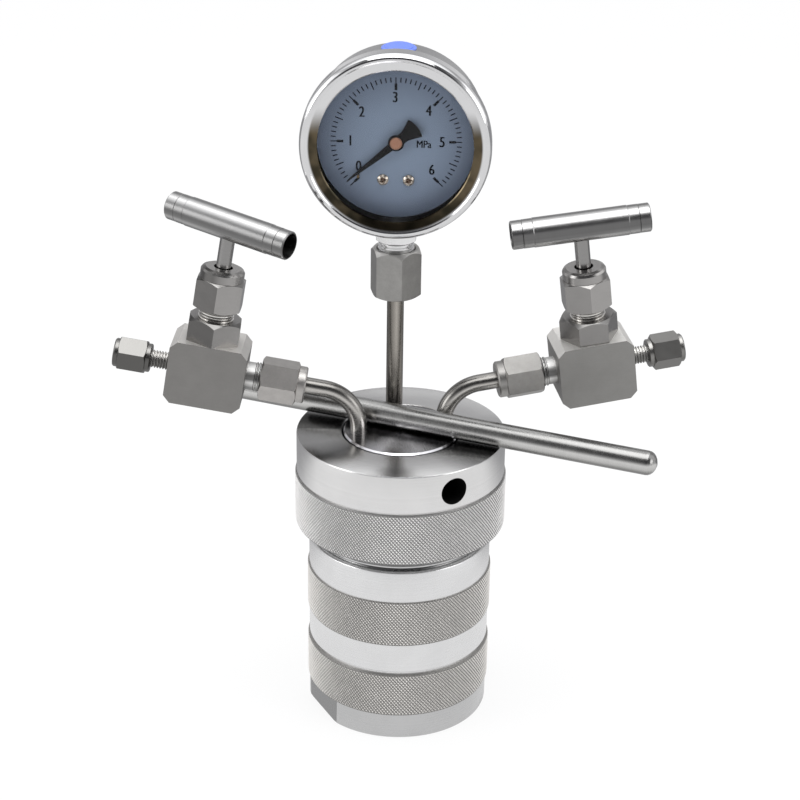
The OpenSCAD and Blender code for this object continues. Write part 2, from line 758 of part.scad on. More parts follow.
module gland() {
    foot = packing_z + packing_h + face_gap / 2;
    top = packing_nut_z + packing_screw_l + gland_rise - face_gap;
    color(brass) turned([[stem_d / 2 + fit, foot], [packing_box_d / 2 - fit, foot],
        [packing_box_d / 2 - fit, top], [stem_d / 2 + fit, top]]);
}

module packing_nut(i) {
    top_r = packing_collar_d / 2;
    hex_top = packing_nut_z + packing_hex_h;
    color(steel) difference() {
        union() {
            translate([0, 0, packing_nut_z])
                hex_bar(packing_nut_af, packing_hex_h, 1, 1, packing_nut_turns[i]);
            turned([[0, packing_nut_z + 1], [top_r, packing_nut_z + 1],
                [top_r, packing_top_z - 1.3], [top_r - 0.5, packing_top_z - 0.5],
                [top_r - 1.6, packing_top_z], [0, packing_top_z]]);
        }
        translate([0, 0, packing_nut_z - eps])
            cylinder(d = packing_thread_d + 2 * fit, h = packing_screw_l + gland_rise);
        cylinder(d = stem_d + 2 * stem_hole_fit, h = packing_top_z + eps);
    }
}

// The needle does not turn: its pin sits in the end of the stem.
module needle() {
    shank_r = stem_d / 2 - 0.25;
    point_z = seat_z - seat_cone_h + 0.1;
    color(bright_steel) turned([[0, point_z], [throat_d / 2 - 0.1, point_z],
        [shank_r, point_z + shank_r - throat_d / 2 + 0.1], [shank_r, stem_z - face_gap],
        [needle_pin_d / 2, stem_z - face_gap], [needle_pin_d / 2, stem_z + needle_pin_h],
        [0, stem_z + needle_pin_h]]);
}

module stem() {
    r = stem_d / 2;
    color(bright_steel) difference() {
        turned([[0, stem_z], [r, stem_z], [r, handle_z + handle_d / 4], [0, handle_z + handle_d / 4]]);
        translate([0, 0, stem_z - eps])
            cylinder(d = needle_pin_d + 2 * fit, h = needle_pin_h + face_gap);
    }
}

// A tube across the stem, with its ends turned down in two fine steps.
module handle(i) {
    r = handle_d / 2;
    half = handle_l / 2;
    bore_r = r - handle_wall;
    step = handle_end_l / 2;
    end = [[r - 0.6, half], [r - 0.2, half - 0.4], [r - 0.2, half - step],
        [r - 0.35, half - step - 0.15], [r - 0.15, half - step - 0.3],
        [r - 0.15, half - 2 * step], [r, half - 2 * step - 0.25]];
    color(steel) translate([0, 0, handle_z]) rotate([0, 0, handle_turns[i]]) difference() {
        turned_x(concat([[bore_r, -half]], [for (p = end) [p[0], -p[1]]],
            [for (k = [len(end) - 1 : -1 : 0]) end[k]], [[bore_r, half]]));
        translate([0, 0, -handle_d]) cylinder(d = stem_d + 2 * fit, h = handle_d);
    }
}

// ---------------------------------------------------------------- gauge mount

module gauge_adapter() {
    color(steel) at_port(2, 0) difference() {
        translate([0, 0, adapter_z]) hex_bar(adapter_af, adapter_h, 1, 2, adapter_turn);
        translate([0, 0, adapter_z - eps]) cylinder(d = tube_d + 2 * fit, h = adapter_socket_h);
        translate([0, 0, adapter_z]) cylinder(d = tube_bore_d, h = adapter_h);
        translate([0, 0, adapter_top_z - adapter_bore_h])
            cylinder(d = shank_d + 2 * fit, h = adapter_bore_h + eps);
        translate([0, 0, adapter_top_z - adapter_mouth_h])
            cylinder(d1 = shank_d + 2 * fit, d2 = shank_d + 1.4, h = adapter_mouth_h + eps);
    }
}

module gauge_gasket() {
    seat = adapter_top_z - adapter_bore_h;
    color(ptfe) at_port(2, 0) turned([[tube_bore_d / 2, seat], [shank_d / 2 - 0.3, seat],
        [shank_d / 2 - 0.3, seat + gasket_t], [tube_bore_d / 2, seat + gasket_t]]);
}

// The gauge's socket: the screwed shank, the hexagon, the neck through the case
// and the block inside that carries the tube and the movement.
module gauge_socket() {
    shank_foot = -gauge_z + adapter_top_z - adapter_bore_h + gasket_t + face_gap / 2;
    hex_foot = -gauge_z + adapter_top_z + shank_gap;
    neck_foot = -case_r - 0.2;
    block_foot = -case_r + case_wall + 2;
    color(bright_steel) at_gauge() difference() {
        union() {
            turned(concat([[0, shank_foot]], ridges(shank_d / 2, shank_d / 2 - 0.7, 1.25,
                shank_foot, hex_foot - 0.2), [[shank_d / 2 - 0.7, hex_foot + 1], [0, hex_foot + 1]]));
            translate([0, 0, hex_foot]) hex_bar(socket_af, neck_foot - hex_foot, 1, 0, 30);
            translate([0, 0, neck_foot - 1]) cylinder(d = socket_neck_d, h = case_r / 3);
            translate([-socket_block_w / 2, -socket_block_w / 2 + 1, block_foot])
                cube([socket_block_w, socket_block_w, socket_block_top - block_foot]);
        }
        translate([0, 0, shank_foot - eps])
            cylinder(d = passage_d, h = bourdon_foot_z - shank_foot);
    }
}

// ---------------------------------------------------------------- gauge

module gauge_case() {
    wall_r = case_r - case_wall;
    back_r = 3;
    arc = [for (a = [-90 : 15 : 0]) [cos(a), sin(a)]];
    color(steel) at_gauge() difference() {
        facing() turned(concat([[0, -case_back]],
            [for (p = arc) [case_r - back_r, -case_back + back_r] + back_r * p],
            [[case_r, case_front], [wall_r, case_front]],
            [for (k = [len(arc) - 1 : -1 : 0])
                [case_r - back_r, -case_back + back_r] + (back_r - case_wall) * arc[k]],
            [[0, -case_back + case_wall]]));
        translate([0, 0, -case_r - 1]) cylinder(d = socket_neck_d + 2 * fit, h = case_r / 2);
        translate([0, 0, case_r / 2]) cylinder(d = plug_neck_d + 2 * fit, h = case_r);
    }
}

module gauge_bezel() {
    r = bezel_d / 2;
    skirt_r = case_r + face_gap;
    sight_r = sight_d / 2;
    roll_r = 2.4;
    crown = [r - roll_r, gauge_front - roll_r];
    color(bright_steel) at_gauge() facing() turned(concat(
        [[skirt_r, case_front - bezel_skirt], [r - 0.9, case_front - bezel_skirt],
        [r, case_front - bezel_skirt + 1.4]],
        [for (a = [0 : 15 : 90]) crown + roll_r * [cos(a), sin(a)]],
        [[r - roll_r - 0.5, gauge_front - 0.35], [sight_r + 0.4, window_front + 0.35],
        [sight_r, window_front + face_gap / 2], [skirt_r, window_front + face_gap / 2]]));
}

module gauge_window() {
    color([0.85, 0.92, 0.95, 0.35]) at_gauge() facing()
        translate([0, 0, window_front - window_t]) cylinder(r = case_r - fit, h = window_t);
}

module window_gasket() {
    color("black") at_gauge() facing() turned([[case_r - 2, case_front + fit],
        [case_r - fit, case_front + fit], [case_r - fit, window_front - window_t - fit],
        [case_r - 2, window_front - window_t - fit]]);
}

module dial() {
    color([0.62, 0.68, 0.78]) at_gauge() facing() difference() {
        translate([0, 0, dial_front - dial_t]) cylinder(d = dial_d, h = dial_t);
        translate([0, 0, dial_front - 2 * dial_t]) cylinder(d = 3, h = 3 * dial_t);
        dial_screw_places() translate([0, 0, dial_front - 2 * dial_t])
            cylinder(d = dial_screw_d + 2 * fit, h = 3 * dial_t);
        rotate([0, 0, pointer_rest])
            translate([stop_pin_r, stop_pin_d / 2 + stop_gap, dial_front - 2 * dial_t])
                cylinder(d = stop_pin_d + 2 * fit, h = 3 * dial_t);
    }
}

module dial_screw_places() {
    for (x = [-1, 1]) translate([x * dial_screw_x, -dial_screw_y, 0]) children();
}

module dial_screws() {
    head_r = 2;
    head_h = 1.1;
    color(bright_steel) at_gauge() facing() dial_screw_places()
        translate([0, 0, dial_front]) difference() {
            turned([[0, -dial_t - 3], [dial_screw_d / 2, -dial_t - 3], [dial_screw_d / 2, face_gap / 2],
                [head_r, face_gap / 2], [head_r, head_h * 0.6], [head_r * 0.7, head_h], [0, head_h]]);
            for (turn = [20, 110]) rotate([0, 0, turn])
                translate([-1.3, -0.35, head_h - 0.7]) cube([2.6, 0.7, 1]);
        }
}

// The pointer's blade: a tapered arm, a ring round the hub and a broad flared tail.
module pointer() {
    fan = 24;
    color([0.08, 0.08, 0.08]) at_gauge() facing() rotate([0, 0, pointer_rest])
        translate([0, 0, blade_z]) linear_extrude(blade_t) difference() {
            union() {
                polygon([[0, -1.5], [pointer_l - 2, -0.35], [pointer_l, -0.1],
                    [pointer_l, 0.1], [pointer_l - 2, 0.35], [0, 1.5]]);
                circle(r = hub_r + 0.7);
                polygon(concat([[0, 1.9], [-4, 1.9], [-6.4, 2.8]],
                    [for (a = [180 - fan : fan / 4 : 180 + fan]) tail_r * [cos(a), sin(a)]],
                    [[-6.4, -2.8], [-4, -1.9], [0, -1.9]]));
            }
            circle(r = arbor_d / 2 + fit);
        }
}

// The pointer's arbor, with the pinion at its foot and the hub cap over the blade.
module pointer_arbor() {
    spindle_r = arbor_d / 2;
    low = blade_z - face_gap / 2;
    high = blade_z + blade_t + face_gap / 2;
    color([0.6, 0.42, 0.34]) at_gauge() facing()
        turned([[0, arbor_foot], [spindle_r, arbor_foot], [spindle_r, pinion_z],
            [pinion_r, pinion_z], [pinion_r, pinion_z + pinion_h], [spindle_r, pinion_z + pinion_h],
            [spindle_r, low - 0.7], [hub_r - 0.4, low - 0.5], [hub_r - 0.4, low],
            [spindle_r, low], [spindle_r, high], [hub_r, high], [hub_r, high + 0.5],
            [hub_r - 0.3, high + 0.8], [0, high + 0.8]]);
}

// The pin on the dial that stops the pointer at rest.
module stop_pin() {
    color(brass) at_gauge() facing() rotate([0, 0, pointer_rest])
        translate([stop_pin_r, stop_pin_d / 2 + stop_gap, dial_front - dial_t])
            cylinder(d = stop_pin_d, h = blade_z + blade_t - dial_front + dial_t);
}

// The flattened spring tube, coiled once round the case from the socket's block.
module bourdon_tube() {
    r = bourdon_r;
    half_w = bourdon_w / 2 - bourdon_t / 2;
    foot_turn = 180 + acos((socket_block_w / 2 + fit) / (r - bourdon_t / 2));
    color(brass) at_gauge() facing() {
        rotate_extrude(angle = foot_turn - bourdon_tip_turn, start = bourdon_tip_turn)
            translate([r, 0]) {
                square([bourdon_t, 2 * half_w], center = true);
                for (s = [-1, 1]) translate([0, s * half_w]) circle(d = bourdon_t, $fn = 24);
            }
        rotate([0, 0, bourdon_tip_turn]) translate([r, -1.5, 0])
            cube([bourdon_t + 0.6, 3, bourdon_w + 0.6], center = true);
    }
}

// Two plates on pillars, carried on the socket's block behind the dial.
module gauge_movement() {
    plate_t = 1.5;
    plate_w = 13;
    plate_top = 8;
    front_z = dial_front - dial_t - 1.2 - plate_t;
    color(brass) at_gauge() facing() difference() {
        union() {
            for (z = [back_plate_z, front_z])
                translate([-plate_w / 2, socket_block_top + face_gap, z])
                    cube([plate_w, plate_top - socket_block_top, plate_t]);
            for (x = [-1, 1]) translate([x * 4.2, plate_top - 3, back_plate_z])
                cylinder(d = 2.6, h = front_z - back_plate_z + eps);
            dial_screw_places() translate([0, 0, back_plate_z])
                cylinder(d = 3.6, h = dial_front - dial_t - back_plate_z - fit);
        }
        translate([0, 0, back_plate_z - 1]) cylinder(d = arbor_d + 2 * fit, h = dial_front);
        dial_screw_places() translate([0, 0, dial_front - dial_t - 3.2])
            cylinder(d = dial_screw_d + 2 * fit, h = 4);
    }
}

module fill_plug() {
    color([0.35, 0.5, 0.95]) at_gauge() {
        intersection() {
            translate([0, 0, case_r / 2]) cylinder(d = fill_plug_d, h = case_r);
            facing() difference() {
                translate([0, 0, -fill_plug_d]) cylinder(r = case_r + plug_proud, h = 2 * fill_plug_d);
                translate([0, 0, -case_r]) cylinder(r = case_r + fit, h = 2 * case_r);
            }
        }
        translate([0, 0, case_r - 3]) cylinder(d = plug_neck_d, h = 3 + plug_proud / 2);
    }
}

// ---------------------------------------------------------------- nodes

vessel_body();
liner_cup();
liner_lid();
cover();
screw_cap();
tommy_bar();
branch_tube(0);  // left_tube
branch_tube(1);  // right_tube
gauge_tube();
at_valve(0) block(0);  // left_block
at_valve(0) inlet_nut(0);  // left_inlet_nut
at_valve(0) ferrules(inlet_body_x, tube_d, -1);  // left_inlet_ferrules
at_valve(0) outlet_nut(0);  // left_outlet_nut
at_valve(0) ferrules(outlet_body_x, outlet_tube_d, 1);  // left_outlet_ferrules
at_valve(0) bonnet(0);  // left_bonnet
at_valve(0) packing();  // left_packing
at_valve(0) gland();  // left_gland
at_valve(0) packing_nut(0);  // left_packing_nut
at_valve(0) needle();  // left_needle
at_valve(0) stem();  // left_stem
at_valve(0) handle(0);  // left_handle
at_valve(1) block(1);  // right_block
at_valve(1) inlet_nut(1);  // right_inlet_nut
at_valve(1) ferrules(inlet_body_x, tube_d, -1);  // right_inlet_ferrules
at_valve(1) outlet_nut(1);  // right_outlet_nut
at_valve(1) ferrules(outlet_body_x, outlet_tube_d, 1);  // right_outlet_ferrules
at_valve(1) bonnet(1);  // right_bonnet
at_valve(1) packing();  // right_packing
at_valve(1) gland();  // right_gland
at_valve(1) packing_nut(1);  // right_packing_nut
at_valve(1) needle();  // right_needle
at_valve(1) stem();  // right_stem
at_valve(1) handle(1);  // right_handle
gauge_adapter();
gauge_gasket();
gauge_socket();
gauge_case();
gauge_bezel();
gauge_window();
window_gasket();
dial();
dial_screws();
stop_pin();
pointer();
pointer_arbor();
bourdon_tube();
gauge_movement();
fill_plug();
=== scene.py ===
import math
import bmesh
import bpy
import numpy as np
from mathutils import Matrix, Vector


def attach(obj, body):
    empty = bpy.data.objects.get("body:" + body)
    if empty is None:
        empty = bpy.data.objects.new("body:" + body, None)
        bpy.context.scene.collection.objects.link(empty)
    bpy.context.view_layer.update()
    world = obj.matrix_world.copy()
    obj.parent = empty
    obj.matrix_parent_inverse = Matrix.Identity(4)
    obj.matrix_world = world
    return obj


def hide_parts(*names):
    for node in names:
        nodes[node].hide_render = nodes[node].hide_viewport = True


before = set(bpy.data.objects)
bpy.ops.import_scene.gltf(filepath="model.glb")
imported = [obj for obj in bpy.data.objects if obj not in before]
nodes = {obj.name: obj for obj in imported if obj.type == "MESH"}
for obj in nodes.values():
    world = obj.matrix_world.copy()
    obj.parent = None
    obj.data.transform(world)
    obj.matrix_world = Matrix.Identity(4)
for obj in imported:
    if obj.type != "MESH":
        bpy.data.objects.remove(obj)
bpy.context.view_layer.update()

mm = 0.001                          # lengths are in millimetres until they reach the scene, in metres
black = (0.0, 0.0, 0.0)
print("frame loaded:", len(nodes), "nodes")


class Field:
    # A shader's socket that can be added, scaled and compared: each operator adds its Math node.
    def __init__(self, board, socket):
        self.board = board
        self.socket = socket

    def math(self, operation, *others, clamp=False):
        return self.board.math(operation, self, *others, clamp=clamp)

    def __add__(self, other):
        return self.math("ADD", other)

    def __sub__(self, other):
        return self.math("SUBTRACT", other)

    def __rsub__(self, other):
        return self.board.math("SUBTRACT", other, self)

    def __mul__(self, other):
        return self.math("MULTIPLY", other)

    def __truediv__(self, other):
        return self.math("DIVIDE", other)

    def __rtruediv__(self, other):
        return self.board.math("DIVIDE", other, self)

    def __pow__(self, other):
        return self.math("POWER", other)

    __radd__ = __add__
    __rmul__ = __mul__

    def root(self):
        return self.math("SQRT")

    def size(self):
        return self.math("ABSOLUTE")

    def clipped(self):              # kept between 0 and 1
        return self.math("ADD", 0.0, clamp=True)

    def step(self, low, high, atLow=0.0, atHigh=1.0):   # smooth step from one value to another
        return self.board.node("ShaderNodeMapRange", {"interpolation_type": "SMOOTHSTEP"},
                               {"Value": self, "From Min": low, "From Max": high,
                                "To Min": atLow, "To Max": atHigh})


class Board:
    # The node board of one material, with its Principled shader ready, or of the world.
    def __init__(self, name, world=None):
        self.material = world or bpy.data.materials.new(name)
        self.material.use_nodes = True
        self.tree = self.material.node_tree
        self.shader = self.tree.nodes["Background" if world else "Principled BSDF"]
        self.out = self.tree.nodes["World Output" if world else "Material Output"]

    def node(self, kind, settings=None, inputs=None, out=0):
        n = self.tree.nodes.new(kind)
        for key, value in (settings or {}).items():
            if key == "stops":
                ramp = n.color_ramp.elements
                while len(ramp) < len(value):
                    ramp.new(0.5)
                for stop, (place, colour) in zip(ramp, value):
                    stop.position = place
                    stop.color = (*colour, 1)
            else:
                setattr(n, key, value)
        for key, value in (inputs or {}).items():
            self.feed(n.inputs[key], value)
        return Field(self, n.outputs[out])

    def math(self, operation, *values, clamp=False):
        return self.node("ShaderNodeMath", {"operation": operation, "use_clamp": clamp},
                         dict(enumerate(values)))

    def feed(self, socket, value):
        if isinstance(value, Field):
            self.tree.links.new(value.socket, socket)
        elif isinstance(value, (tuple, list)) and socket.type == "RGBA" and len(value) == 3:
            socket.default_value = (*value, 1)
        else:
            socket.default_value = value

    def place(self):
        return self.node("ShaderNodeTexCoord", out="Object")

    def seenFrom(self, origin):         # the place, measured from a point
        return self.node("ShaderNodeVectorMath", {"operation": "SUBTRACT"},
                         {0: self.place(), 1: tuple(origin)})

    def along(self, origin, axis):      # distance along an axis from a point, in metres
        return self.node("ShaderNodeVectorMath", {"operation": "DOT_PRODUCT"},
                         {0: self.seenFrom(origin), 1: tuple(axis)}, out="Value")

    def reach(self, origin):            # distance from a point
        return self.node("ShaderNodeVectorMath", {"operation": "LENGTH"},
                         {0: self.seenFrom(origin)}, out="Value")

    def radius(self, origin, axis):     # distance from an axis, by the rule of right triangles
        reach, height = self.reach(origin), self.along(origin, axis)
        return (reach * reach - height * height).size().root()

    def vector(self, x, y, z):
        return self.node("ShaderNodeCombineXYZ", inputs={0: x, 1: y, 2: z})

    def noise(self, where, scale, detail=2.0, rough=0.5):
        return self.node("ShaderNodeTexNoise", inputs={"Vector": where, "Scale": scale,
                                                       "Detail": detail, "Roughness": rough})

    def blend(self, factor, a, b):      # sockets 6 and 7, and output 2, are the Mix node's colours
        return self.node("ShaderNodeMix", {"data_type": "RGBA"}, {0: factor, 6: a, 7: b}, out=2)

    def shaded(self, light, colour):    # a colour between black and itself
        return self.blend(light, black, colour)

    def facing(self, axis):             # how far the surface faces an axis, from 0 (away) to 1
        normal = self.node("ShaderNodeTexCoord", out="Normal")
        dot = self.node("ShaderNodeVectorMath", {"operation": "DOT_PRODUCT"},
                        {0: normal, 1: tuple(axis)}, out="Value")
        return dot * 0.5 + 0.5

    def ramp(self, value, stops):       # plain numbers at places from 0 to 1
        greys = [(place, (v, v, v)) for place, v in stops]
        return self.node("ShaderNodeValToRGB", {"stops": greys}, {0: value})

    def bump(self, height, distance, strength=1.0):
        return self.node("ShaderNodeBump", inputs={"Strength": strength, "Distance": distance,
                                                   "Height": height})

    def give(self, **sockets):
        names = {"colour": "Base Color", "rough": "Roughness", "metal": "Metallic", "normal": "Normal",
                 "coat": "Coat Weight", "coatRough": "Coat Roughness", "specular": "Specular IOR Level",
                 "soft": "Subsurface Weight", "softSize": "Subsurface Scale"}
        for key, value in sockets.items():
            self.feed(self.shader.inputs[names[key]], value)
        return self.material

    def cover(self, surface):           # puts another shader in the Principled one's place
        self.feed(self.out.inputs["Surface"], surface)


# A paint is a function that takes a material's board and its shade and gives back a new shade.

def toned(axis, stops):
    # Painted light and shade: the shade times a ramp on how far the surface faces the axis, so the sides are
    # painted lighter or darker.
    return lambda b, shade: b.shaded(b.ramp(b.facing(axis), stops), shade)


def untouched(b, shade):            # the paint that changes nothing
    return shade


def inTurn(*paints):                # several paints, one over another
    def paint(b, shade):
        for each in paints:
            shade = each(b, shade)
        return shade
    return paint


def mottled(b, colour, look, cloud, marks, weights):
    # The colour, darkened where a weighted sum of the slow cloud and the fine marks is low.
    slow, fine, shift = weights
    dark = tuple(c * look["dark"] for c in colour)
    return b.blend((cloud * slow + marks * fine - shift).clipped(), dark, colour)


broadShare = 0.13                   # the broad lathe lines against the fine ones


def turnedMetal(name, origin, axis, colour, look, paint=untouched):
    # Fine lathe lines are noise on (distance along the axis + distance from it), so they run
    # round the sides and in circles on the faces; a slow cloud of noise mottles the shade.
    b = Board(name)
    across = b.along(origin, axis) + b.radius(origin, axis)
    fine = b.noise(b.vector(across, 0.0, 0.0), look["lines"], 3.0, 0.6)
    broad = b.noise(b.vector(across, 0.0, 0.0), look["lines"] * broadShare)
    cloud = b.noise(b.place(), look["cloud"], 3.0, 0.55)
    shade = mottled(b, colour, look, cloud, broad, (0.7, 0.5, 0.1))
    rough = look["rough"] + (fine - 0.5) * look["roughSpread"] + (cloud - 0.5) * look["roughSpread"]
    return b.give(colour=paint(b, shade), metal=1.0, rough=rough,
                  normal=b.bump(fine + broad * 0.6, look["depth"]))


def grainyMetal(name, colour, look, paint=untouched):
    # Fine noise gives the speckle and the bumps; a slow one gives the stains.
    b = Board(name)
    speck = b.noise(b.place(), look["grain"], 4.0, 0.7)
    cloud = b.noise(b.place(), look["cloud"], 3.0, 0.6)
    shade = mottled(b, colour, look, cloud, speck, (0.8, 0.5, 0.2))
    rough = look["rough"] + (speck - 0.5) * look["roughSpread"]
    return b.give(colour=paint(b, shade), metal=1.0, rough=rough, normal=b.bump(speck, look["depth"]))


def brushedMetal(name, axis, colour, look, paint=untouched):
    # Scratches are noise squeezed along one direction, so they run that way.
    b = Board(name)
    long = b.along((0, 0, 0), axis)
    squeezed = b.node("ShaderNodeVectorMath", {"operation": "SCALE"},
                      {0: tuple(axis), 3: long * (1 - look["stretch"])})
    where = b.node("ShaderNodeVectorMath", {"operation": "SUBTRACT"}, {0: b.place(), 1: squeezed})
    lines = b.noise(where, look["lines"], 3.0, 0.65)
    cloud = b.noise(b.place(), look["cloud"], 3.0, 0.6)
    shade = mottled(b, colour, look, cloud, lines, (0.6, 0.6, 0.1))
    rough = look["rough"] + (lines - 0.5) * look["roughSpread"]
    return b.give(colour=paint(b, shade), metal=1.0, rough=rough, normal=b.bump(lines, look["depth"]))


def plainMaterial(name, colour, rough, metal=0.0, grain=600.0, spread=0.2, depth=0.00001, **more):
    # One colour, with fine noise that darkens it a little, roughens it and raises small bumps.
    b = Board(name)
    cloud = b.noise(b.place(), grain, 3.0, 0.6)
    dark = tuple(c * (1 - spread) for c in colour)
    return b.give(colour=b.blend(cloud, dark, colour), metal=metal, rough=rough + (cloud - 0.5) * 0.1,
                  normal=b.bump(cloud, depth), **more)


# The fittings stand as the CAD's do: heights over the foot, turns in degrees about the vessel's
# axis, and for each of the two valves its direction, rise and roll.
fittings = {
    "bossTop": 115.1, "portRadius": 16.2, "portTurns": (191.0, 11.0, 100.0), "branchHeight": 15.2,
    "reach": 56.6, "directions": (178.1, 8.7), "rises": (9.2, 7.9), "rolls": (3.1, 1.7),
    "handleTurns": (-27.0, -5.0), "handleRise": 56.0, "bonnetTurn": -12.0,
    "gaugeHeight": 225.5, "gaugeTurn": -2.5, "dialFace": 10.5,
    "barDirection": -21.9, "barMiddle": (0.0, 0.75, 119.7),
}


def turn(axis, degrees):            # the matrix of a turn about X, Y or Z
    return np.array(Matrix.Rotation(math.radians(degrees), 3, axis))


def portPlace(i):                   # middle of one of the boss's three ports
    a = math.radians(fittings["portTurns"][i])
    return np.array([math.cos(a), math.sin(a), 0]) * fittings["portRadius"]


def valvePlace(i):                  # middle of the block, and the three directions of its frame
    lean = turn("Z", fittings["directions"][i]) @ turn("Y", -fittings["rises"][i])
    up = np.array([0, 0, fittings["bossTop"] + fittings["branchHeight"]])
    middle = portPlace(i) + up + lean @ np.array([fittings["reach"], 0, 0])
    return middle * mm, lean @ turn("X", fittings["rolls"][i])


def dialPlace():                    # pivot on the dial's face, and the right, up and outward directions
    facing = turn("Z", fittings["gaugeTurn"])
    pivot = portPlace(2) + np.array([0, 0, fittings["gaugeHeight"]])
    pivot = pivot + facing @ np.array([0, -fittings["dialFace"], 0])
    return pivot * mm, np.stack([facing @ [1, 0, 0], [0, 0, 1], facing @ [0, -1, 0]], axis=1)


sharpAngles = {"knurl": 24, "turned": 32, "copied": 25}     # degrees past which an edge stays sharp


def addObject(name, data):
    thing = bpy.data.objects.new(name, data)
    bpy.context.scene.collection.objects.link(thing)
    return thing


def newPiece(name, points, faces, material, body, smooth=True):
    # A mesh of the points, in metres, that rides on one of the bodies.
    mesh = bpy.data.meshes.new(name)
    mesh.from_pydata(np.asarray(points, float).tolist(), [], np.asarray(faces).tolist())
    mesh.materials.append(material)
    mesh.polygons.foreach_set("use_smooth", np.full(len(mesh.polygons), smooth))
    mesh.update()
    piece = addObject(name, mesh)
    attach(piece, body)
    return piece


def gridFaces(rows, columns, wrapRows, wrapColumns):
    # Quads between neighbours of a rows x columns grid, with wrapped edges where asked.
    r = np.arange(rows if wrapRows else rows - 1)[:, None]
    c = np.arange(columns if wrapColumns else columns - 1)[None, :]
    nextR, nextC = (r + 1) % rows, (c + 1) % columns
    corners = [r * columns + c, r * columns + nextC, nextR * columns + nextC, nextR * columns + c]
    return np.stack([np.broadcast_to(k, (r.size, c.size)).ravel() for k in corners], axis=1)


def sharpen(piece, kind):
    piece.data.set_sharp_from_angle(angle=math.radians(sharpAngles[kind]))


def weld(piece):                    # merges points that coincide, such as a pole's, and turns faces outward
    shape = bmesh.new()
    shape.from_mesh(piece.data)
    bmesh.ops.remove_doubles(shape, verts=shape.verts, dist=1e-7)
    bmesh.ops.recalc_face_normals(shape, faces=shape.faces)
    shape.to_mesh(piece.data)
    shape.free()


def lathe(profile, columns, clip=None):
    # A closed outline of (radius, height) points carried round Z; clip(angle, radius, height)
    # may pull points in, as a milled flat does.
    outline = np.asarray(profile, float)
    angle = np.linspace(0, 2 * np.pi, columns, endpoint=False)[None, :]
    radius = np.repeat(outline[:, :1], columns, axis=1)
    height = np.repeat(outline[:, 1:], columns, axis=1)
    if clip:
        radius = clip(angle, radius, height)
    points = np.stack([radius * np.cos(angle), radius * np.sin(angle), height], axis=-1)
    return points.reshape(-1, 3) * mm


threadShares = (0.0, 0.15, 0.45, 0.7)   # where the root, the rise, the crest and the fall start in a pitch


def ridges(crest, root, pitch, low, high):
    # Thread ridges between two heights, as outline points: root, rise, crest, fall, for each pitch.
    n = max(1, int((high - low) / pitch))
    p = (high - low) / n
    steps = np.stack([[root, root, crest, crest], threadShares], axis=1)
    rows = [np.stack([steps[:, 0], low + (i + steps[:, 1]) * p], axis=1) for i in range(n)]
    return np.concatenate(rows).tolist() + [[root, high]]


def closedLathe(name, outline, columns, material, body, clip=None):
    # An outline that starts and ends on the axis, carried round Z and closed at its poles.
    faces = gridFaces(len(outline), columns, False, True)
    piece = newPiece(name, lathe(outline, columns, clip), faces, material, body)
    weld(piece)
    sharpen(piece, "turned")
    return piece


def turnedCopy(name, node, middle, axis, degrees, body):
    # The node's own mesh, closed up and turned about an axis through a point.
    source = nodes[node].data
    points = np.empty(len(source.vertices) * 3)
    source.vertices.foreach_get("co", points)
    corners = np.empty(len(source.loops), int)
    source.loops.foreach_get("vertex_index", corners)
    spin = np.array(Matrix.Rotation(math.radians(degrees), 3, Vector(axis)))
    points = (points.reshape(-1, 3) - middle) @ spin.T + middle
    piece = newPiece(name, points, corners.reshape(-1, 3), source.materials[0], body)
    weld(piece)
    sharpen(piece, "copied")
    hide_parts(node)


vessel = {
    "radius": 34.7, "knurlRadius": 35.4, "valleyRadius": 34.95,
    "footTop": 10.4, "lowKnurlTop": 28.0, "reliefTop": 29.5, "midTop": 41.4, "highKnurlTop": 59.8,
    "shoulder": 72.5, "neckTop": 91.0, "neckRadius": 33.0, "neckRoot": 32.1, "neckPitch": 2.0,
    "reliefDepth": 0.7, "flats": 65.2, "flatsTurn": -62.0,
    "mouthRadius": 30.2, "lipHeight": 86.0, "boreRadius": 27.2, "floor": 9.0,
    "edge": 0.6, "knurlEdge": 0.3, "stepEdge": 0.25, "columns": 288,
}
knurl = {"across": 1.30, "along": 1.55, "depth": 0.42, "crown": 0.75, "perDiamond": 4, "wall": 1.2,
         "fade": 0.3, "endDrop": 0.7}


def vesselOutline(v):
    # From the middle of the foot up the outside, over the thread and down the bore.
    r, k, e, ke, se = v["radius"], v["valleyRadius"], v["edge"], v["knurlEdge"], v["stepEdge"]
    relief = r - v["reliefDepth"]
    outside = [[0, 0], [r - e, 0], [r - e / 4, e * 0.35], [r, e], [r, v["footTop"]],
               [k, v["footTop"] + ke], [k, v["lowKnurlTop"] - ke], [relief, v["lowKnurlTop"]],
               [relief, v["reliefTop"]], [r - se, v["reliefTop"]], [r, v["reliefTop"] + se],
               [r, v["midTop"]], [k, v["midTop"] + ke], [k, v["highKnurlTop"] - ke],
               [r, v["highKnurlTop"]], [r, v["shoulder"] - e], [r - e / 3, v["shoulder"] - e / 3],
               [r - e, v["shoulder"]], [v["neckRoot"], v["shoulder"]]]
    thread = ridges(v["neckRadius"], v["neckRoot"], v["neckPitch"],
                    v["shoulder"] + ke, v["neckTop"] - v["neckPitch"])
    inside = [[v["neckRoot"], v["neckTop"]], [v["mouthRadius"], v["neckTop"]],
              [v["mouthRadius"], v["lipHeight"]], [v["boreRadius"], v["lipHeight"]],
              [v["boreRadius"], v["floor"]], [0, v["floor"]]]
    return outside + thread + inside


def millFlats(v):
    # Below the low knurl the radius is at most half the width over the cosine from the flat's middle.
    def clip(angle, radius, height):
        off = angle - math.radians(v["flatsTurn"] + 90)
        limit = v["flats"] / 2 / np.maximum(np.abs(np.cos(off)), 1e-3)
        return np.where(height < v["footTop"] + v["stepEdge"], np.minimum(radius, limit), radius)
    return clip


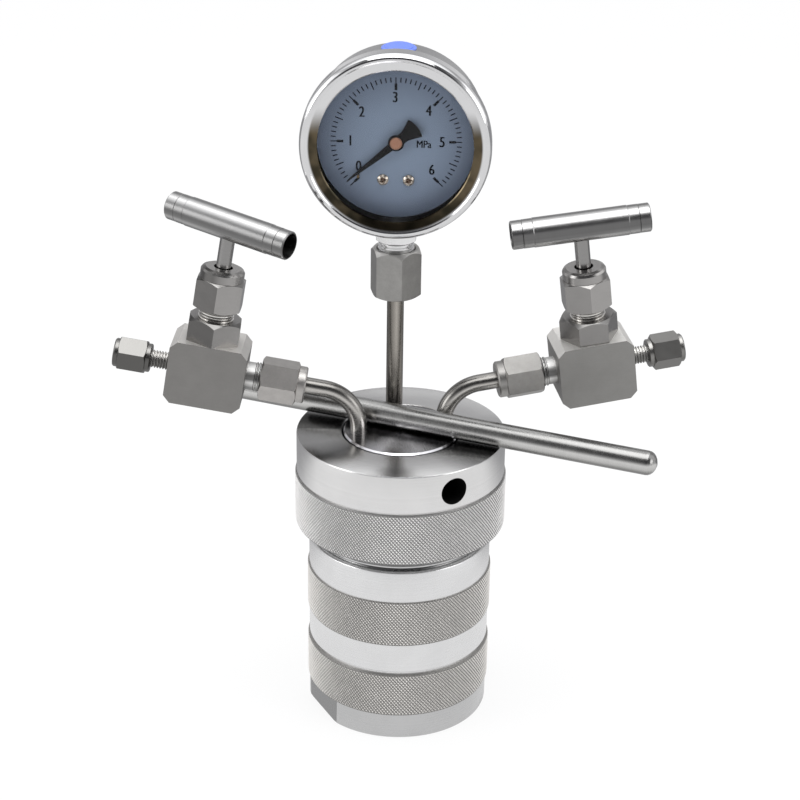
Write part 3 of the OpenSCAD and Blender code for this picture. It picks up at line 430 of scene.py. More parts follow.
def triangleWave(t):                # 0 at whole numbers, 1 halfway between them
    return 1 - np.abs(2 * (t - np.floor(t)) - 1)


def knurlSleeve(name, low, high, crest, body, material):
    # Diamonds: two families of V grooves lean each way; the height over the valley is the lower of
    # the two triangle waves, flattened at the crown, and it fades out over the chamfered ends.
    k = knurl
    around = int(round(2 * math.pi * crest / k["across"]))
    tall = max(2, int(round((high - low) / k["along"])))
    columns, rows = around * k["perDiamond"], tall * k["perDiamond"] + 1
    angle = np.linspace(0, 2 * np.pi, columns, endpoint=False)[None, :]
    z = np.linspace(low, high, rows)[:, None]
    turns = angle * around / (2 * np.pi)
    climb = (z - low) / (high - low) * tall
    diamond = np.minimum(triangleWave(turns + climb), triangleWave(turns - climb))
    rise = np.minimum(diamond, k["crown"]) / k["crown"]
    ends = np.clip(np.minimum(z - low, high - z) / k["fade"], 0, 1)
    radius = crest - k["depth"] * np.maximum(1 - rise, (1 - ends) * k["endDrop"])
    skin = np.stack([radius * np.cos(angle), radius * np.sin(angle), z + 0 * angle], axis=-1)
    inner = crest - k["depth"] - k["wall"]
    back = np.stack([inner * np.cos(angle), inner * np.sin(angle)], axis=-1)[0]
    backRows = [np.concatenate([back, np.full((columns, 1), h)], axis=1)[None] for h in (high, low)]
    points = np.concatenate([skin] + backRows)
    faces = gridFaces(points.shape[0], columns, True, True)
    piece = newPiece(name, points.reshape(-1, 3) * mm, faces, material, body)
    sharpen(piece, "knurl")
    return piece


bodyLook = {"lines": 9000.0, "cloud": 90.0, "dark": 0.80, "rough": 0.27, "roughSpread": 0.10,
            "depth": 0.00001, "groove": 0.22, "crest": 0.80, "foot": 0.28, "flat": 0.40,
            "boreGap": (0.3, 0.1), "neckStart": (0.02, 0.1), "footFade": 0.3, "flatFacing": (0.992, 0.997)}
knurlLook = {"grain": 2500.0, "cloud": 150.0, "dark": 0.78, "rough": 0.60, "roughSpread": 0.12,
             "depth": 0.00001, "valley": 0.10, "crown": 0.1, "ledge": 0.45, "ledgeFacing": (0.90, 0.99)}


def vesselPaint(b, shade):
    # Painted shade darkens the thread's grooves by the distance from the axis; the foot is darker, and the
    # flat that faces one way gets painted shade as well.
    look = bodyLook
    height = b.along((0, 0, 0), (0, 0, 1))
    radius = b.radius((0, 0, 0), (0, 0, 1))
    root, crest = vessel["neckRoot"], vessel["neckRadius"]
    groove = radius.step(root * mm, crest * mm, look["groove"], look["crest"])
    outside = radius.step(*((root - gap) * mm for gap in look["boreGap"]))
    neck = height.step(*((vessel["shoulder"] + rise) * mm for rise in look["neckStart"]))
    foot = height.step((vessel["footTop"] - look["footFade"]) * mm, vessel["footTop"] * mm, 1.0, 0.0)
    a = math.radians(vessel["flatsTurn"] - 90)
    flat = b.facing((math.cos(a), math.sin(a), 0)).step(*look["flatFacing"])
    shade = b.blend(neck * outside, shade, b.shaded(groove, shade))
    return b.blend(foot * (flat * look["flat"] + look["foot"]), shade, black)


bodySteel = turnedMetal("turnedVesselSteel", (0, 0, 0), (0, 0, 1), (0.82, 0.82, 0.82), bodyLook,
                        vesselPaint)


def knurlSteel(name, crest, colour):
    # Painted shade: the colour darkens from the crests to the valleys with the distance from the axis, and
    # less on the ledges that face up, which are painted lighter.
    def paint(b, shade):
        look = knurlLook
        radius = b.radius((0, 0, 0), (0, 0, 1))
        valley, crown = crest - knurl["depth"], crest - look["crown"]
        openness = radius.step(valley * mm, crown * mm, look["valley"], 1.0)
        ledge = b.facing((0, 0, 1)).step(*look["ledgeFacing"]) * look["ledge"]
        return b.shaded((openness + ledge).clipped(), shade)
    return grainyMetal(name, colour, knurlLook, paint)


vesselKnurl = knurlSteel("vesselKnurlSteel", vessel["knurlRadius"], (0.88, 0.86, 0.83))

shell = closedLathe("vessel_shell", vesselOutline(vessel), vessel["columns"], bodySteel, "vessel",
                    millFlats(vessel))
lowKnurl = knurlSleeve("low_knurl", vessel["footTop"], vessel["lowKnurlTop"], vessel["knurlRadius"],
                       "vessel", vesselKnurl)
knurlSleeve("high_knurl", vessel["midTop"], vessel["highKnurlTop"], vessel["knurlRadius"],
            "vessel", vesselKnurl)
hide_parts("vessel_body")
print("vessel:", len(shell.data.vertices), "points, low knurl:", len(lowKnurl.data.vertices))


cap = {
    "radius": 39.3, "knurlRadius": 40.0, "valleyRadius": 39.5, "bottom": 78.4, "grooveBottom": 98.7,
    "grooveTop": 99.6, "grooveDepth": 0.5, "grooveEdge": 0.15, "top": 114.6, "opening": 22.3,
    "ceiling": 99.6, "bore": 33.3, "root": 34.2, "pitch": 2.0, "leadIn": 1.5, "leadOut": 3.0,
    "edge": 0.7, "foot": 0.9, "lip": 0.3, "knurlStart": 0.4, "knurlEnd": 0.2,
    "holeRadius": 5.25, "holeDepth": 13.5, "holeHeight": 106.6, "holeTurns": (-60.0, 120.0),
    "holeStart": 2.0, "columns": 320,
}


def capOutline(c):
    # From the skirt's foot up the outside, over the rim, and down the opening and the thread.
    r, k, e, foot, lip = c["radius"], c["valleyRadius"], c["edge"], c["foot"], c["lip"]
    groove, ge = r - c["grooveDepth"], c["grooveEdge"]
    outside = [[c["root"], c["bottom"]], [k - foot, c["bottom"]], [k, c["bottom"] + foot],
               [k, c["grooveBottom"] - c["knurlEnd"]], [groove, c["grooveBottom"]],
               [groove, c["grooveTop"]], [r - ge, c["grooveTop"]], [r, c["grooveTop"] + ge],
               [r, c["top"] - e], [r - e * 0.3, c["top"] - e * 0.3], [r - e, c["top"]],
               [c["opening"] + lip, c["top"]], [c["opening"], c["top"] - lip],
               [c["opening"], c["ceiling"]], [c["root"], c["ceiling"]]]
    thread = ridges(c["bore"], c["root"], c["pitch"], c["bottom"] + c["leadIn"], c["ceiling"] - c["leadOut"])
    return outside + thread[::-1]


def drill(piece, start, direction, radius, depth, columns=64):
    # Takes a round hole out of the piece with a Boolean of a plain cutter, then drops the cutter.
    along = Vector(direction).normalized()
    facing = along.to_track_quat("Z", "Y").to_matrix().to_4x4()
    bpy.ops.mesh.primitive_cylinder_add(vertices=columns, radius=radius, depth=depth)
    cutter = bpy.context.object
    for material in piece.data.materials:
        cutter.data.materials.append(material)
    last = len(piece.data.materials) - 1
    cutter.data.polygons.foreach_set("material_index", [last] * len(cutter.data.polygons))
    cutter.data.transform(Matrix.Translation(Vector(start) + along * (depth / 2)) @ facing)
    cut = piece.modifiers.new("hole", "BOOLEAN")
    cut.operation = "DIFFERENCE"
    cut.solver = "EXACT"
    cut.object = cutter
    bpy.context.view_layer.objects.active = piece
    bpy.ops.object.modifier_apply(modifier=cut.name)
    bpy.data.objects.remove(cutter)


# The light on a turned face, by the angle about the axis in degrees.
capStreaks = ((-180, 0.60), (-160, 0.62), (-140, 0.26), (-122, 0.85), (-100, 1.0), (-93, 0.50), (-86, 1.0),
              (-62, 0.85), (-42, 0.28), (-22, 0.25), (0, 0.7), (25, 1.0), (100, 1.0), (142, 0.5), (154, 0.2),
              (172, 0.25))
bossStreaks = ((-180, 0.35), (-140, 0.20), (-112, 0.9), (-92, 0.5), (-72, 0.9), (-40, 0.25), (0, 0.3),
               (180, 0.35))


def sunburst(streaks):
    # On faces that look up, the shade is scaled by a ramp on the angle about the axis, as light on
    # circular turning lines gives.
    def paint(b, shade):
        x, y = (b.node("ShaderNodeSeparateXYZ", inputs={0: b.place()}, out=i) for i in range(2))
        share = y.math("ARCTAN2", x) / (2 * math.pi) + 0.5
        light = b.ramp(share, [((degrees + 180) / 360, v) for degrees, v in streaks])
        top = b.facing((0, 0, 1)).step(0.90, 0.97)
        return b.blend(top, shade, b.shaded(light, shade))
    return paint


capSteel = turnedMetal("turnedCapSteel", (0, 0, 0), (0, 0, 1), (0.80, 0.795, 0.79),
                       {"lines": 7000.0, "cloud": 70.0, "dark": 0.80, "rough": 0.22,
                        "roughSpread": 0.10, "depth": 0.000012}, sunburst(capStreaks))
# Painted shade: the drilled holes' walls get this near-black colour in place of steel.
boreShade = Board("darkBore").give(colour=(0.006, 0.006, 0.006), rough=0.7, metal=0.0, specular=0.1)
outline = capOutline(cap)
crown = newPiece("cap_shell", lathe(outline, cap["columns"]),
                 gridFaces(len(outline), cap["columns"], True, True), capSteel, "cap")
weld(crown)
crown.data.materials.append(boreShade)
for holeTurn in cap["holeTurns"]:
    a = math.radians(holeTurn)
    outward = Vector((math.cos(a), math.sin(a), 0))
    mouth = outward * (cap["radius"] + cap["holeStart"]) * mm + Vector((0, 0, cap["holeHeight"] * mm))
    drill(crown, mouth, -outward, cap["holeRadius"] * mm, (cap["holeDepth"] + cap["holeStart"]) * mm)
sharpen(crown, "turned")
knurlSleeve("cap_knurl", cap["bottom"] + cap["knurlStart"], cap["grooveBottom"], cap["knurlRadius"],
            "cap", knurlSteel("capKnurlSteel", cap["knurlRadius"], (0.95, 0.94, 0.93)))
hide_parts("screw_cap")
print("cap:", len(crown.data.vertices), "points")


dialArt = {
    "zeroAngle": 226.0, "perUnit": 45.0, "units": 6, "outer": 23.4,
    "tickInner": (18.8, 20.4, 21.6), "tickWidth": (0.95, 0.42, 0.42), "boldUntil": 21.2,
    "tipWidth": 0.4, "overlap": 0.2, "lift": 0.03,
    "numeralRadius": 16.3, "numeralAngles": (-145, 180, 139, 92, 46, 1, -38),
    "numeralHeight": 3.8, "numeralWidth": 0.74, "bold": 0.15,
    "unitPlace": (9.9, -0.7), "unitHeight": 2.7, "unitWidth": 0.8, "unitBold": 0.09,
    "rim": 28.4, "middleColour": (0.22, 0.265, 0.335), "rimColour": (0.115, 0.135, 0.19),
}
pivot, dialAxes = dialPlace()


def onDial(x, y, h):                # millimetres right, up and out of the dial, to the row's metres
    local = np.stack([np.asarray(x, float), np.asarray(y, float), np.asarray(h, float)], axis=-1) * mm
    return local @ dialAxes.T + pivot


def tickMarks(d):
    # Each mark is a strip from an inner to the outer radius; whole units have a broad inner part.
    count = d["units"] * 10 + 1
    which = np.arange(count)
    kind = np.where(which % 10 == 0, 0, np.where(which % 5 == 0, 1, 2))
    inner, width = np.array(d["tickInner"])[kind], np.array(d["tickWidth"])[kind]
    angle = np.radians(d["zeroAngle"] - d["perUnit"] * which / 10)
    whole = kind == 0
    outer, bold = np.full(count, d["outer"]), np.full(count, d["boldUntil"])
    tip = np.full(count, d["tipWidth"])
    strips = [(inner[~whole], outer[~whole], width[~whole], angle[~whole]),
              (inner[whole], bold[whole], width[whole], angle[whole]),
              (bold[whole] - d["overlap"], outer[whole], tip[whole], angle[whole])]
    corners = []
    for near, far, wide, a in strips:
        out = np.stack([np.cos(a), np.sin(a)], axis=-1)
        side = np.stack([-np.sin(a), np.cos(a)], axis=-1) * wide[:, None] / 2
        corners.append(np.stack([near[:, None] * out - side, far[:, None] * out - side,
                                 far[:, None] * out + side, near[:, None] * out + side], axis=1))
    flat = np.concatenate(corners).reshape(-1, 2)
    points = onDial(flat[:, 0], flat[:, 1], np.full(len(flat), d["lift"]))
    return points, np.arange(len(flat)).reshape(-1, 4)


def inkMaterial():                  # near black, with a slow noise
    b = Board("dialInk")
    cloud = b.noise(b.place(), 900.0)
    return b.give(colour=b.blend(cloud, (0.002, 0.002, 0.004), (0.006, 0.006, 0.009)), rough=0.6,
                  metal=0.0, specular=0.1)


ink = inkMaterial()
points, faces = tickMarks(dialArt)
newPiece("dial_marks", points, faces, ink, "lid", smooth=False)


def flatLetters(name, words):       # plain letters as a mesh, and the places of its points
    curve = bpy.data.curves.new(name, "FONT")
    curve.body = words
    curve.align_x = "CENTER"
    curve.align_y = "CENTER"
    text = addObject(name, curve)
    bpy.context.view_layer.update()
    mesh = bpy.data.meshes.new_from_object(text)
    bpy.data.objects.remove(text)
    points = np.empty(len(mesh.vertices) * 3)
    mesh.vertices.foreach_get("co", points)
    return mesh, points.reshape(-1, 3)


def numeral(name, words, x, y, height, squeeze, bold):
    # Letters squeezed sideways and laid on the dial about the point (x, y), in three layers that
    # lie side by side and one above another, so that the strokes are bold.
    letters, flat = flatLetters(name, words)
    low, high = flat.min(axis=0), flat.max(axis=0)
    scale = height / (high[1] - low[1])
    centred = (flat[:, :2] - (low[:2] + high[:2]) / 2) * scale
    layers = []
    for shift, rise in ((-bold, 1.0), (0, 1.25), (bold, 1.5)):
        layer = letters.copy()
        level = np.full(len(flat), dialArt["lift"] * rise)
        placed = onDial(centred[:, 0] * squeeze + x + shift, centred[:, 1] + y, level)
        layer.vertices.foreach_set("co", placed.ravel())
        layers.append(addObject(name, layer))
    with bpy.context.temp_override(active_object=layers[0], selected_editable_objects=layers):
        bpy.ops.object.join()
    piece = layers[0]
    piece.data.materials.clear()
    piece.data.materials.append(ink)
    piece.data.update()
    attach(piece, "lid")


for value, degrees in enumerate(dialArt["numeralAngles"]):
    a = math.radians(degrees)
    numeral(f"numeral_{value}", str(value), dialArt["numeralRadius"] * math.cos(a),
            dialArt["numeralRadius"] * math.sin(a), dialArt["numeralHeight"], dialArt["numeralWidth"],
            dialArt["bold"])
numeral("unit_mark", "MPa", *dialArt["unitPlace"], dialArt["unitHeight"], dialArt["unitWidth"],
        dialArt["unitBold"])
print("dial: marks and numerals laid")


def dialMaterial(d):
    # Blue-grey enamel: lighter in the middle, darker to the rim by the cube of the radius.
    b = Board("dialEnamel")
    rim = (b.reach(pivot) / (d["rim"] * mm)) ** 3.0
    cloud = b.noise(b.place(), 120.0)
    shade = b.blend((rim * 0.8 + (cloud - 0.5) * 0.15).clipped(), d["middleColour"], d["rimColour"])
    return b.give(colour=shade, rough=0.5, metal=0.0, specular=0.3)


glassLook = {"bend": 1.45, "shine": 0.22, "rough": 0.02, "tint": (0.97, 0.985, 1.0)}


def glassMaterial(g):
    # Clear, with a little gloss that grows to the edge of the view by the Fresnel law.
    b = Board("clearWindow")
    edge = b.node("ShaderNodeFresnel", inputs={"IOR": g["bend"]})
    clear = b.node("ShaderNodeBsdfTransparent", inputs={"Color": g["tint"]})
    gloss = b.node("ShaderNodeBsdfGlossy", inputs={"Color": (1, 1, 1), "Roughness": g["rough"]})
    b.cover(b.node("ShaderNodeMixShader", inputs={0: edge * g["shine"], 1: clear, 2: gloss}))
    return b.material


def dress(name, material):          # one material over a whole CAD node
    slots = nodes[name].data.materials
    slots.clear()
    slots.append(material)


# How fine the marks are, how rough the steel is and how far its dark patches fall.
tubeLook = {"lines": 5000.0, "cloud": 220.0, "stretch": 0.06, "dark": 0.82, "rough": 0.27,
            "roughSpread": 0.12, "depth": 0.000006}
satinLook = {"lines": 4200.0, "cloud": 160.0, "stretch": 0.05, "dark": 0.80, "rough": 0.30,
             "roughSpread": 0.14, "depth": 0.000008}
dullLook = {"grain": 1500.0, "cloud": 260.0, "dark": 0.62, "rough": 0.40, "roughSpread": 0.16,
            "depth": 0.00002}
lineLook = {"lines": 9000.0, "cloud": 200.0, "dark": 0.84, "rough": 0.22, "roughSpread": 0.10,
            "depth": 0.000006}
hexLook = dict(lineLook, rough=0.24, dark=0.78)

# Painted light and shade by how far a surface faces an axis, from 0 (away) to 1.
hexTones = {"left": ((0.3, 0.95), (0.5, 0.75), (0.65, 0.45)),
            "right": ((0.3, 1.0), (0.5, 0.9), (0.65, 0.8))}
outletTones = {"left": ((0.3, 0.24), (0.55, 0.26), (0.75, 0.42)),
               "right": ((0.3, 0.35), (0.5, 0.50), (0.7, 0.60))}
hexTop = {"bonnet": ((0.0, 0.50), (0.55, 0.50), (0.80, 0.42), (0.95, 0.36), (0.99, 0.75)),
          "nut": ((0.0, 0.50), (0.55, 0.50), (0.80, 0.50), (0.95, 0.50), (0.99, 0.80))}
upLight = ((0.0, 0.30), (0.60, 0.34), (0.75, 0.7), (0.92, 1.0))
blockInlet = {"start": 14.3, "shine": (0.90, 0.895, 0.88),
              "paintedReflections": ((0.2, 0.30), (0.3, 0.60), (0.42, 0.90), (0.54, 0.24), (0.70, 0.30), (0.84, 0.85),
                          (1.0, 0.65))}
# Painted light and shade: the same block and nut steel is lighter or darker on each side, the right block
# lighter and the right nut darker.
blockColours = {"left": (0.85, 0.83, 0.80), "right": (0.98, 0.965, 0.93)}
nutColours = {"left": (0.56, 0.54, 0.52), "right": (0.40, 0.39, 0.375)}
# Painted reflections in bands on the handles, the tubes and the tommy bar, by how far they face up.
rodReflections = ((0.0, 0.25), (0.10, 0.30), (0.22, 0.62), (0.33, 0.30), (0.46, 0.22), (0.58, 0.24), (0.72, 0.38),
              (0.82, 0.60), (0.91, 0.78), (1.0, 0.42))
barReflections = ((0.0, 0.25), (0.22, 0.30), (0.40, 0.80), (0.56, 0.95), (0.66, 0.42), (0.80, 0.34), (0.94, 0.40),
              (1.0, 0.55))

# Painted sheen on the bonnet's thread, and painted shade in its grooves.
bonnetThread = {"crest": 6.5, "root": 5.9, "fade": 0.2, "shine": (0.80, 0.785, 0.76), "groove": 0.35}


def threadShine(origin, axis):
    # Inside the crest's radius the steel gets a painted sheen, a light colour, with painted shade in the
    # grooves by the distance from the axis.
    def paint(b, shade):
        radius = b.radius(origin, axis)
        root, crest, fade = (bonnetThread[key] * mm for key in ("root", "crest", "fade"))
        thread = radius.step(crest, crest + fade, 1.0, 0.0)
        light = b.shaded(radius.step(root, crest, bonnetThread["groove"], 1.0), bonnetThread["shine"])
        return b.blend(thread, shade, light)
    return paint


def blockPaint(middle, up, out):
    # Painted light on faces that look up, and past the block's inner end the polished neck gets painted
    # reflections in bands by how far it faces up.
    def paint(b, shade):
        end = -blockInlet["start"] * mm
        neck = b.along(middle, out).step(end - 0.2 * mm, end, 1.0, 0.0)
        paintedReflections = b.shaded(b.ramp(b.facing(up), blockInlet["paintedReflections"]), blockInlet["shine"])
        return b.blend(neck, toned(up, upLight)(b, shade), paintedReflections)
    return paint


leftward = -dialAxes[:, 0]
sides = ("left", "right")
for i, side in enumerate(sides):
    middle, axes = valvePlace(i)
    out, up = axes[:, 0], axes[:, 2]
    # Painted light and shade on the hexes, the block, the outlet nut, the handle and the tube.
    hexSides = toned(leftward, hexTones[side])
    blockSteel = brushedMetal(side + "BlockSteel", out, blockColours[side],
                              dict(satinLook, rough=0.50, dark=0.74), blockPaint(middle, up, out))
    nutSteel = grainyMetal(side + "NutSteel", nutColours[side], dullLook)
    hexSteel = turnedMetal(side + "HexSteel", middle, up, (0.78, 0.76, 0.74), hexLook,
                           inTurn(toned(up, hexTop["nut"]), hexSides))
    bonnetSteel = turnedMetal(side + "BonnetSteel", middle, up, (0.60, 0.585, 0.57), hexLook,
                              inTurn(toned(up, hexTop["bonnet"]), hexSides, threadShine(middle, up)))
    stemSteel = turnedMetal(side + "StemSteel", middle, up, (0.30, 0.295, 0.29), lineLook)
    outSteel = turnedMetal(side + "OutletSteel", middle, out, (0.52, 0.51, 0.49),
                           dict(lineLook, rough=0.3), toned(up, outletTones[side]))
    gripAxis = axes @ turn("Z", fittings["handleTurns"][i]) @ np.array([1, 0, 0])
    gripMiddle = middle + up * fittings["handleRise"] * mm
    handleSteel = turnedMetal(side + "HandleSteel", gripMiddle, gripAxis, (0.72, 0.715, 0.71),
                              dict(lineLook, rough=0.30), toned(up, rodReflections))
    for part, material in (("block", blockSteel), ("inlet_nut", nutSteel), ("outlet_nut", outSteel),
                           ("bonnet", bonnetSteel), ("packing_nut", hexSteel), ("stem", stemSteel),
                           ("handle", handleSteel), ("needle", stemSteel)):
        dress(f"{side}_{part}", material)
    dress(f"{side}_tube", brushedMetal(side + "TubeSteel", out, (0.62, 0.60, 0.57), tubeLook,
                                       toned((0, 0, 1), barReflections)))

middle, axes = valvePlace(sides.index("right"))
turnedCopy("right_bonnet_shell", "right_bonnet", middle, axes[:, 2], fittings["bonnetTurn"], "lid")

brass = plainMaterial("brass", (0.72, 0.52, 0.24), rough=0.3, metal=1.0)
fluoroplastic = plainMaterial("whiteFluoroplastic", (0.90, 0.90, 0.87), rough=0.42, grain=300.0,
                              spread=0.05, soft=0.2, softSize=0.002)

bezelPatches = {"slope": (30.4, 31.2), "height": (4.0, 15.0), "patches": 110.0, "edges": (0.35, 0.70),
              "olive": (0.03, 0.027, 0.018), "brown": (0.12, 0.095, 0.06)}


def bezelPaint(b, shade):
    # Inside the crown and below its upper part, patches of noise colour the slope olive and brown.
    radius = b.radius(pivot, dialAxes[:, 2])
    height = b.along(pivot, dialAxes[:, 1])
    slope, rise = ([value * mm for value in bezelPatches[key]] for key in ("slope", "height"))
    inside = radius.step(*slope, 1.0, 0.0) * height.step(*rise, 1.0, 0.0)
    patch = b.noise(b.place(), bezelPatches["patches"]).step(*bezelPatches["edges"])
    return b.blend(inside, shade, b.blend(patch, bezelPatches["olive"], bezelPatches["brown"]))


brightSteel = turnedMetal("brightGaugeSteel", pivot, dialAxes[:, 2], (0.70, 0.70, 0.705),
                          dict(lineLook, rough=0.10, roughSpread=0.04, dark=0.93), bezelPaint)
caseSteel = turnedMetal("satinCaseSteel", pivot, dialAxes[:, 2], (0.47, 0.47, 0.475),
                        dict(lineLook, rough=0.32))
ferruleSteel = plainMaterial("ferruleSteel", (0.8, 0.8, 0.8), rough=0.2, metal=1.0)
# Painted light: the adapter is lighter where it faces up.
adapterSteel = grainyMetal("adapterSteel", (0.60, 0.59, 0.57), dullLook,
                           toned((0, 0, 1), ((0.3, 0.62), (0.56, 0.66), (0.75, 1.0))))
socketSteel = turnedMetal("socketSteel", portPlace(2) * mm, (0, 0, 1), (0.84, 0.84, 0.84), lineLook)
# Painted reflections in bands on the riser, by how far it faces left.
riserSteel = brushedMetal("riserSteel", (0, 0, 1), (0.46, 0.43, 0.39), tubeLook,
                          toned(-dialAxes[:, 0], ((0.2, 0.5), (0.4, 1.0), (0.6, 0.6), (0.8, 0.35))))
# Painted reflections in bands on the tommy bar, by how far it faces up.
barAxis = turn("Z", fittings["barDirection"]) @ np.array([1, 0, 0])
barSteel = turnedMetal("turnedBarSteel", np.array(fittings["barMiddle"]) * mm, barAxis,
                       (0.70, 0.695, 0.68), dict(lineLook, lines=6000.0, rough=0.27, dark=0.80),
                       toned((0, 0, 1), barReflections))
bossSteel = turnedMetal("turnedBossSteel", (0, 0, 0), (0, 0, 1), (0.84, 0.83, 0.86),
                        dict(lineLook, rough=0.18), sunburst(bossStreaks))
rubber = plainMaterial("blackRubber", (0.02, 0.02, 0.02), rough=0.6)
pointerPaint = plainMaterial("pointerPaint", (0.006, 0.005, 0.005), rough=0.6, specular=0.1)
hubCopper = plainMaterial("hubCopper", (0.42, 0.20, 0.12), rough=0.35, metal=0.6)
darkBrass = plainMaterial("stopPinBrass", (0.20, 0.13, 0.06), rough=0.4, metal=0.8)
dialScrews = {"aside": 4.6, "below": 14.2, "recess": (0.7, 1.3), "recessShade": (0.10, 0.06, 0.04)}


def screwPaint(b, shade):
    # Painted shade within the recess, by the distance from the axis of the nearer of the two screws.
    sideways = b.along(pivot, dialAxes[:, 0]).size() - dialScrews["aside"] * mm
    upward = b.along(pivot, dialAxes[:, 1]) + dialScrews["below"] * mm
    apart = (sideways * sideways + upward * upward).root()
    near, far = dialScrews["recess"]
    return b.blend(apart.step(near * mm, far * mm, 1.0, 0.0), shade, dialScrews["recessShade"])


screwSteel = turnedMetal("dialScrewSteel", pivot, dialAxes[:, 2], (0.62, 0.52, 0.42),
                         dict(lineLook, rough=0.25, dark=0.8), screwPaint)
bluePlastic = plainMaterial("bluePlug", (0.12, 0.22, 0.85), rough=0.35, grain=300.0, spread=0.15,
                            coat=0.3, coatRough=0.2)

for name, material in (
        ("liner_cup", fluoroplastic), ("liner_lid", fluoroplastic), ("cover", bossSteel),
        ("tommy_bar", barSteel), ("gauge_tube", riserSteel), ("gauge_adapter", adapterSteel),
        ("gauge_gasket", fluoroplastic), ("gauge_socket", socketSteel), ("gauge_case", caseSteel),
        ("gauge_bezel", brightSteel), ("gauge_window", glassMaterial(glassLook)),
        ("window_gasket", rubber), ("dial", dialMaterial(dialArt)), ("dial_screws", screwSteel),
        ("pointer", pointerPaint), ("pointer_arbor", hubCopper), ("stop_pin", darkBrass),
        ("bourdon_tube", brass), ("gauge_movement", brass), ("fill_plug", bluePlastic)):
    dress(name, material)
for side in sides:
    for part, material in (("packing", fluoroplastic), ("gland", brass),
                           ("inlet_ferrules", ferruleSteel), ("outlet_ferrules", ferruleSteel)):
        dress(f"{side}_{part}", material)
print("finishes given")


studio = {
    "floorSize": 30.0, "floorColour": (0.93, 0.93, 0.935), "floorGlow": 0.86, "mirrorGlow": 0.92,
    "mirrorFront": (0.92, 0.92, 0.925), "mirrorBack": (0.30, 0.30, 0.31), "mirrorTurn": (0.02, 0.22),
    "skyStops": ((0.0, (0.80, 0.80, 0.81)), (0.14, (0.72, 0.72, 0.73)), (0.30, (0.44, 0.44, 0.45)),
                 (0.60, (0.50, 0.50, 0.51)), (0.84, (1.5, 1.51, 1.53)), (1.0, (1.6, 1.61, 1.63))),
    "panelFront": (0.45, 0.75), "panelFoot": (0.20, 0.34), "panelTop": (0.80, 0.90),
    "boxSide": (0.80, 0.92), "boxFoot": (0.05, 0.12), "boxTop": (0.55, 0.65),
    "panelColour": (0.07, 0.07, 0.075), "boxColour": (1.5, 1.5, 1.52),
    "lamps": (("topLamp", (0.0, -0.10, 0.95), 0.7, 3.6), ("leftLamp", (-0.95, -0.45, 0.45), 0.5, 2.4),
              ("rightLamp", (0.95, -0.55, 0.5), 0.5, 1.8)), "lampAim": (0.0, 0.0, 0.12),
}                                   # lamps: name, place, width in metres and power


def makeFloor(s):
    # Seen straight on, the floor glows evenly to white. Seen in a mirror, it is light in front of
    # the vessel and dim behind it, by a smooth step along the depth.
    half = s["floorSize"] / 2
    mesh = bpy.data.meshes.new("floor")
    mesh.from_pydata([(-half, -half, 0), (half, -half, 0), (half, half, 0), (-half, half, 0)], [],
                     [(0, 1, 2, 3)])
    floor = addObject("floor", mesh)
    b = Board("paleFloor")
    b.give(colour=s["floorColour"], rough=0.9, specular=0.0)
    ray, gloss, through = (b.node("ShaderNodeLightPath", out=k)
                           for k in ("Is Camera Ray", "Is Glossy Ray", "Is Transmission Ray"))
    depth = b.node("ShaderNodeSeparateXYZ", inputs={0: b.place()}, out=1)
    behind = depth.step(*s["mirrorTurn"])
    inMirror = b.blend(behind, s["mirrorFront"], s["mirrorBack"])
    glow = b.node("ShaderNodeEmission", inputs={"Color": b.blend(ray, inMirror, (1.0, 1.0, 1.0))})
    share = (ray * s["floorGlow"] + (gloss + through) * s["mirrorGlow"]).clipped()
    plain = Field(b, b.shader.outputs[0])
    b.cover(b.node("ShaderNodeMixShader", inputs={0: share, 1: plain, 2: glow}))
    mesh.materials.append(b.material)


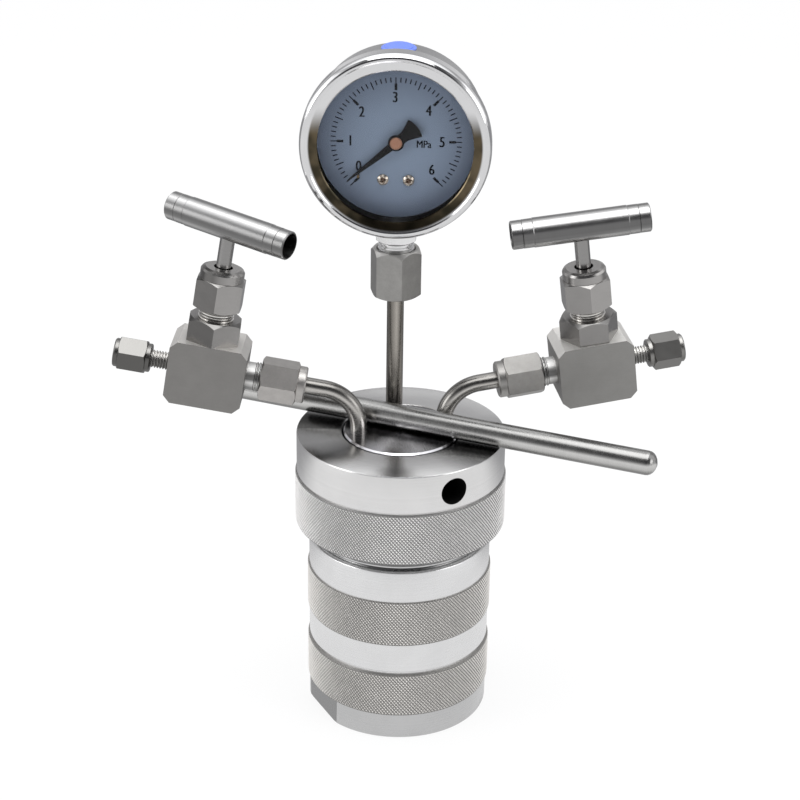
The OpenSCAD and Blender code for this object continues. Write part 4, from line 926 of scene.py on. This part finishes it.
def makeSky(s):
    # Grey by the height of the direction, bright overhead. A dark panel stands high in front and a
    # softbox on each side: each is a product of smooth steps on the direction.
    world = bpy.data.worlds.new("studioSky")
    bpy.context.scene.world = world
    b = Board("studioSky", world)
    sight = b.node("ShaderNodeTexCoord", out="Generated")
    x, y, up = (b.node("ShaderNodeSeparateXYZ", inputs={0: sight}, out=i) for i in range(3))
    level = (x * x + y * y).root()
    front, side = y / level * -1, (x / level).size()
    base = b.node("ShaderNodeValToRGB", {"stops": s["skyStops"]}, {0: up})
    panel = front.step(*s["panelFront"]) * up.step(*s["panelFoot"]) * up.step(*s["panelTop"], 1.0, 0.0)
    box = side.step(*s["boxSide"]) * up.step(*s["boxFoot"]) * up.step(*s["boxTop"], 1.0, 0.0)
    b.feed(b.shader.inputs["Color"], b.blend(box, b.blend(panel, base, s["panelColour"]), s["boxColour"]))


def makeLamps(s):                   # square lamps that all face one point
    for name, place, size, power in s["lamps"]:
        light = bpy.data.lights.new(name, "AREA")
        light.shape = "SQUARE"
        light.size = size
        light.energy = power
        aim = Vector(s["lampAim"]) - Vector(place)
        facing = aim.to_track_quat("-Z", "Y").to_matrix().to_4x4()
        addObject(name, light).matrix_world = Matrix.Translation(place) @ facing


camera = {"place": (-0.58, -681.83, 444.43), "pitch": 24.97, "roll": -0.85, "focal": 2015.87,
          "frame": 800.0, "sensor": 36.0, "nearest": 10.0}


def makeCamera(c):
    # Looks along +Y, tipped down by the pitch, then rolled; focal and frame are in pixels.
    pitch, roll = math.radians(c["pitch"]), math.radians(c["roll"])
    forward = Vector((0, math.cos(pitch), -math.sin(pitch)))
    down = Vector((0, -math.sin(pitch), -math.cos(pitch)))
    right = Vector((1, 0, 0))
    rolledRight = right * math.cos(roll) + down * math.sin(roll)
    rolledDown = down * math.cos(roll) - right * math.sin(roll)
    lens = bpy.data.cameras.new("camera")
    lens.sensor_width = c["sensor"]
    lens.lens = c["focal"] / c["frame"] * c["sensor"]
    lens.clip_start = c["nearest"] * mm
    view = addObject("camera", lens)
    turned = Matrix((rolledRight, -rolledDown, -forward)).transposed().to_4x4()
    view.matrix_world = Matrix.Translation(Vector(c["place"]) * mm) @ turned
    bpy.context.scene.camera = view


makeFloor(studio)
makeSky(studio)
makeLamps(studio)
makeCamera(camera)
bpy.context.scene.view_settings.view_transform = "Standard"
print("studio set")
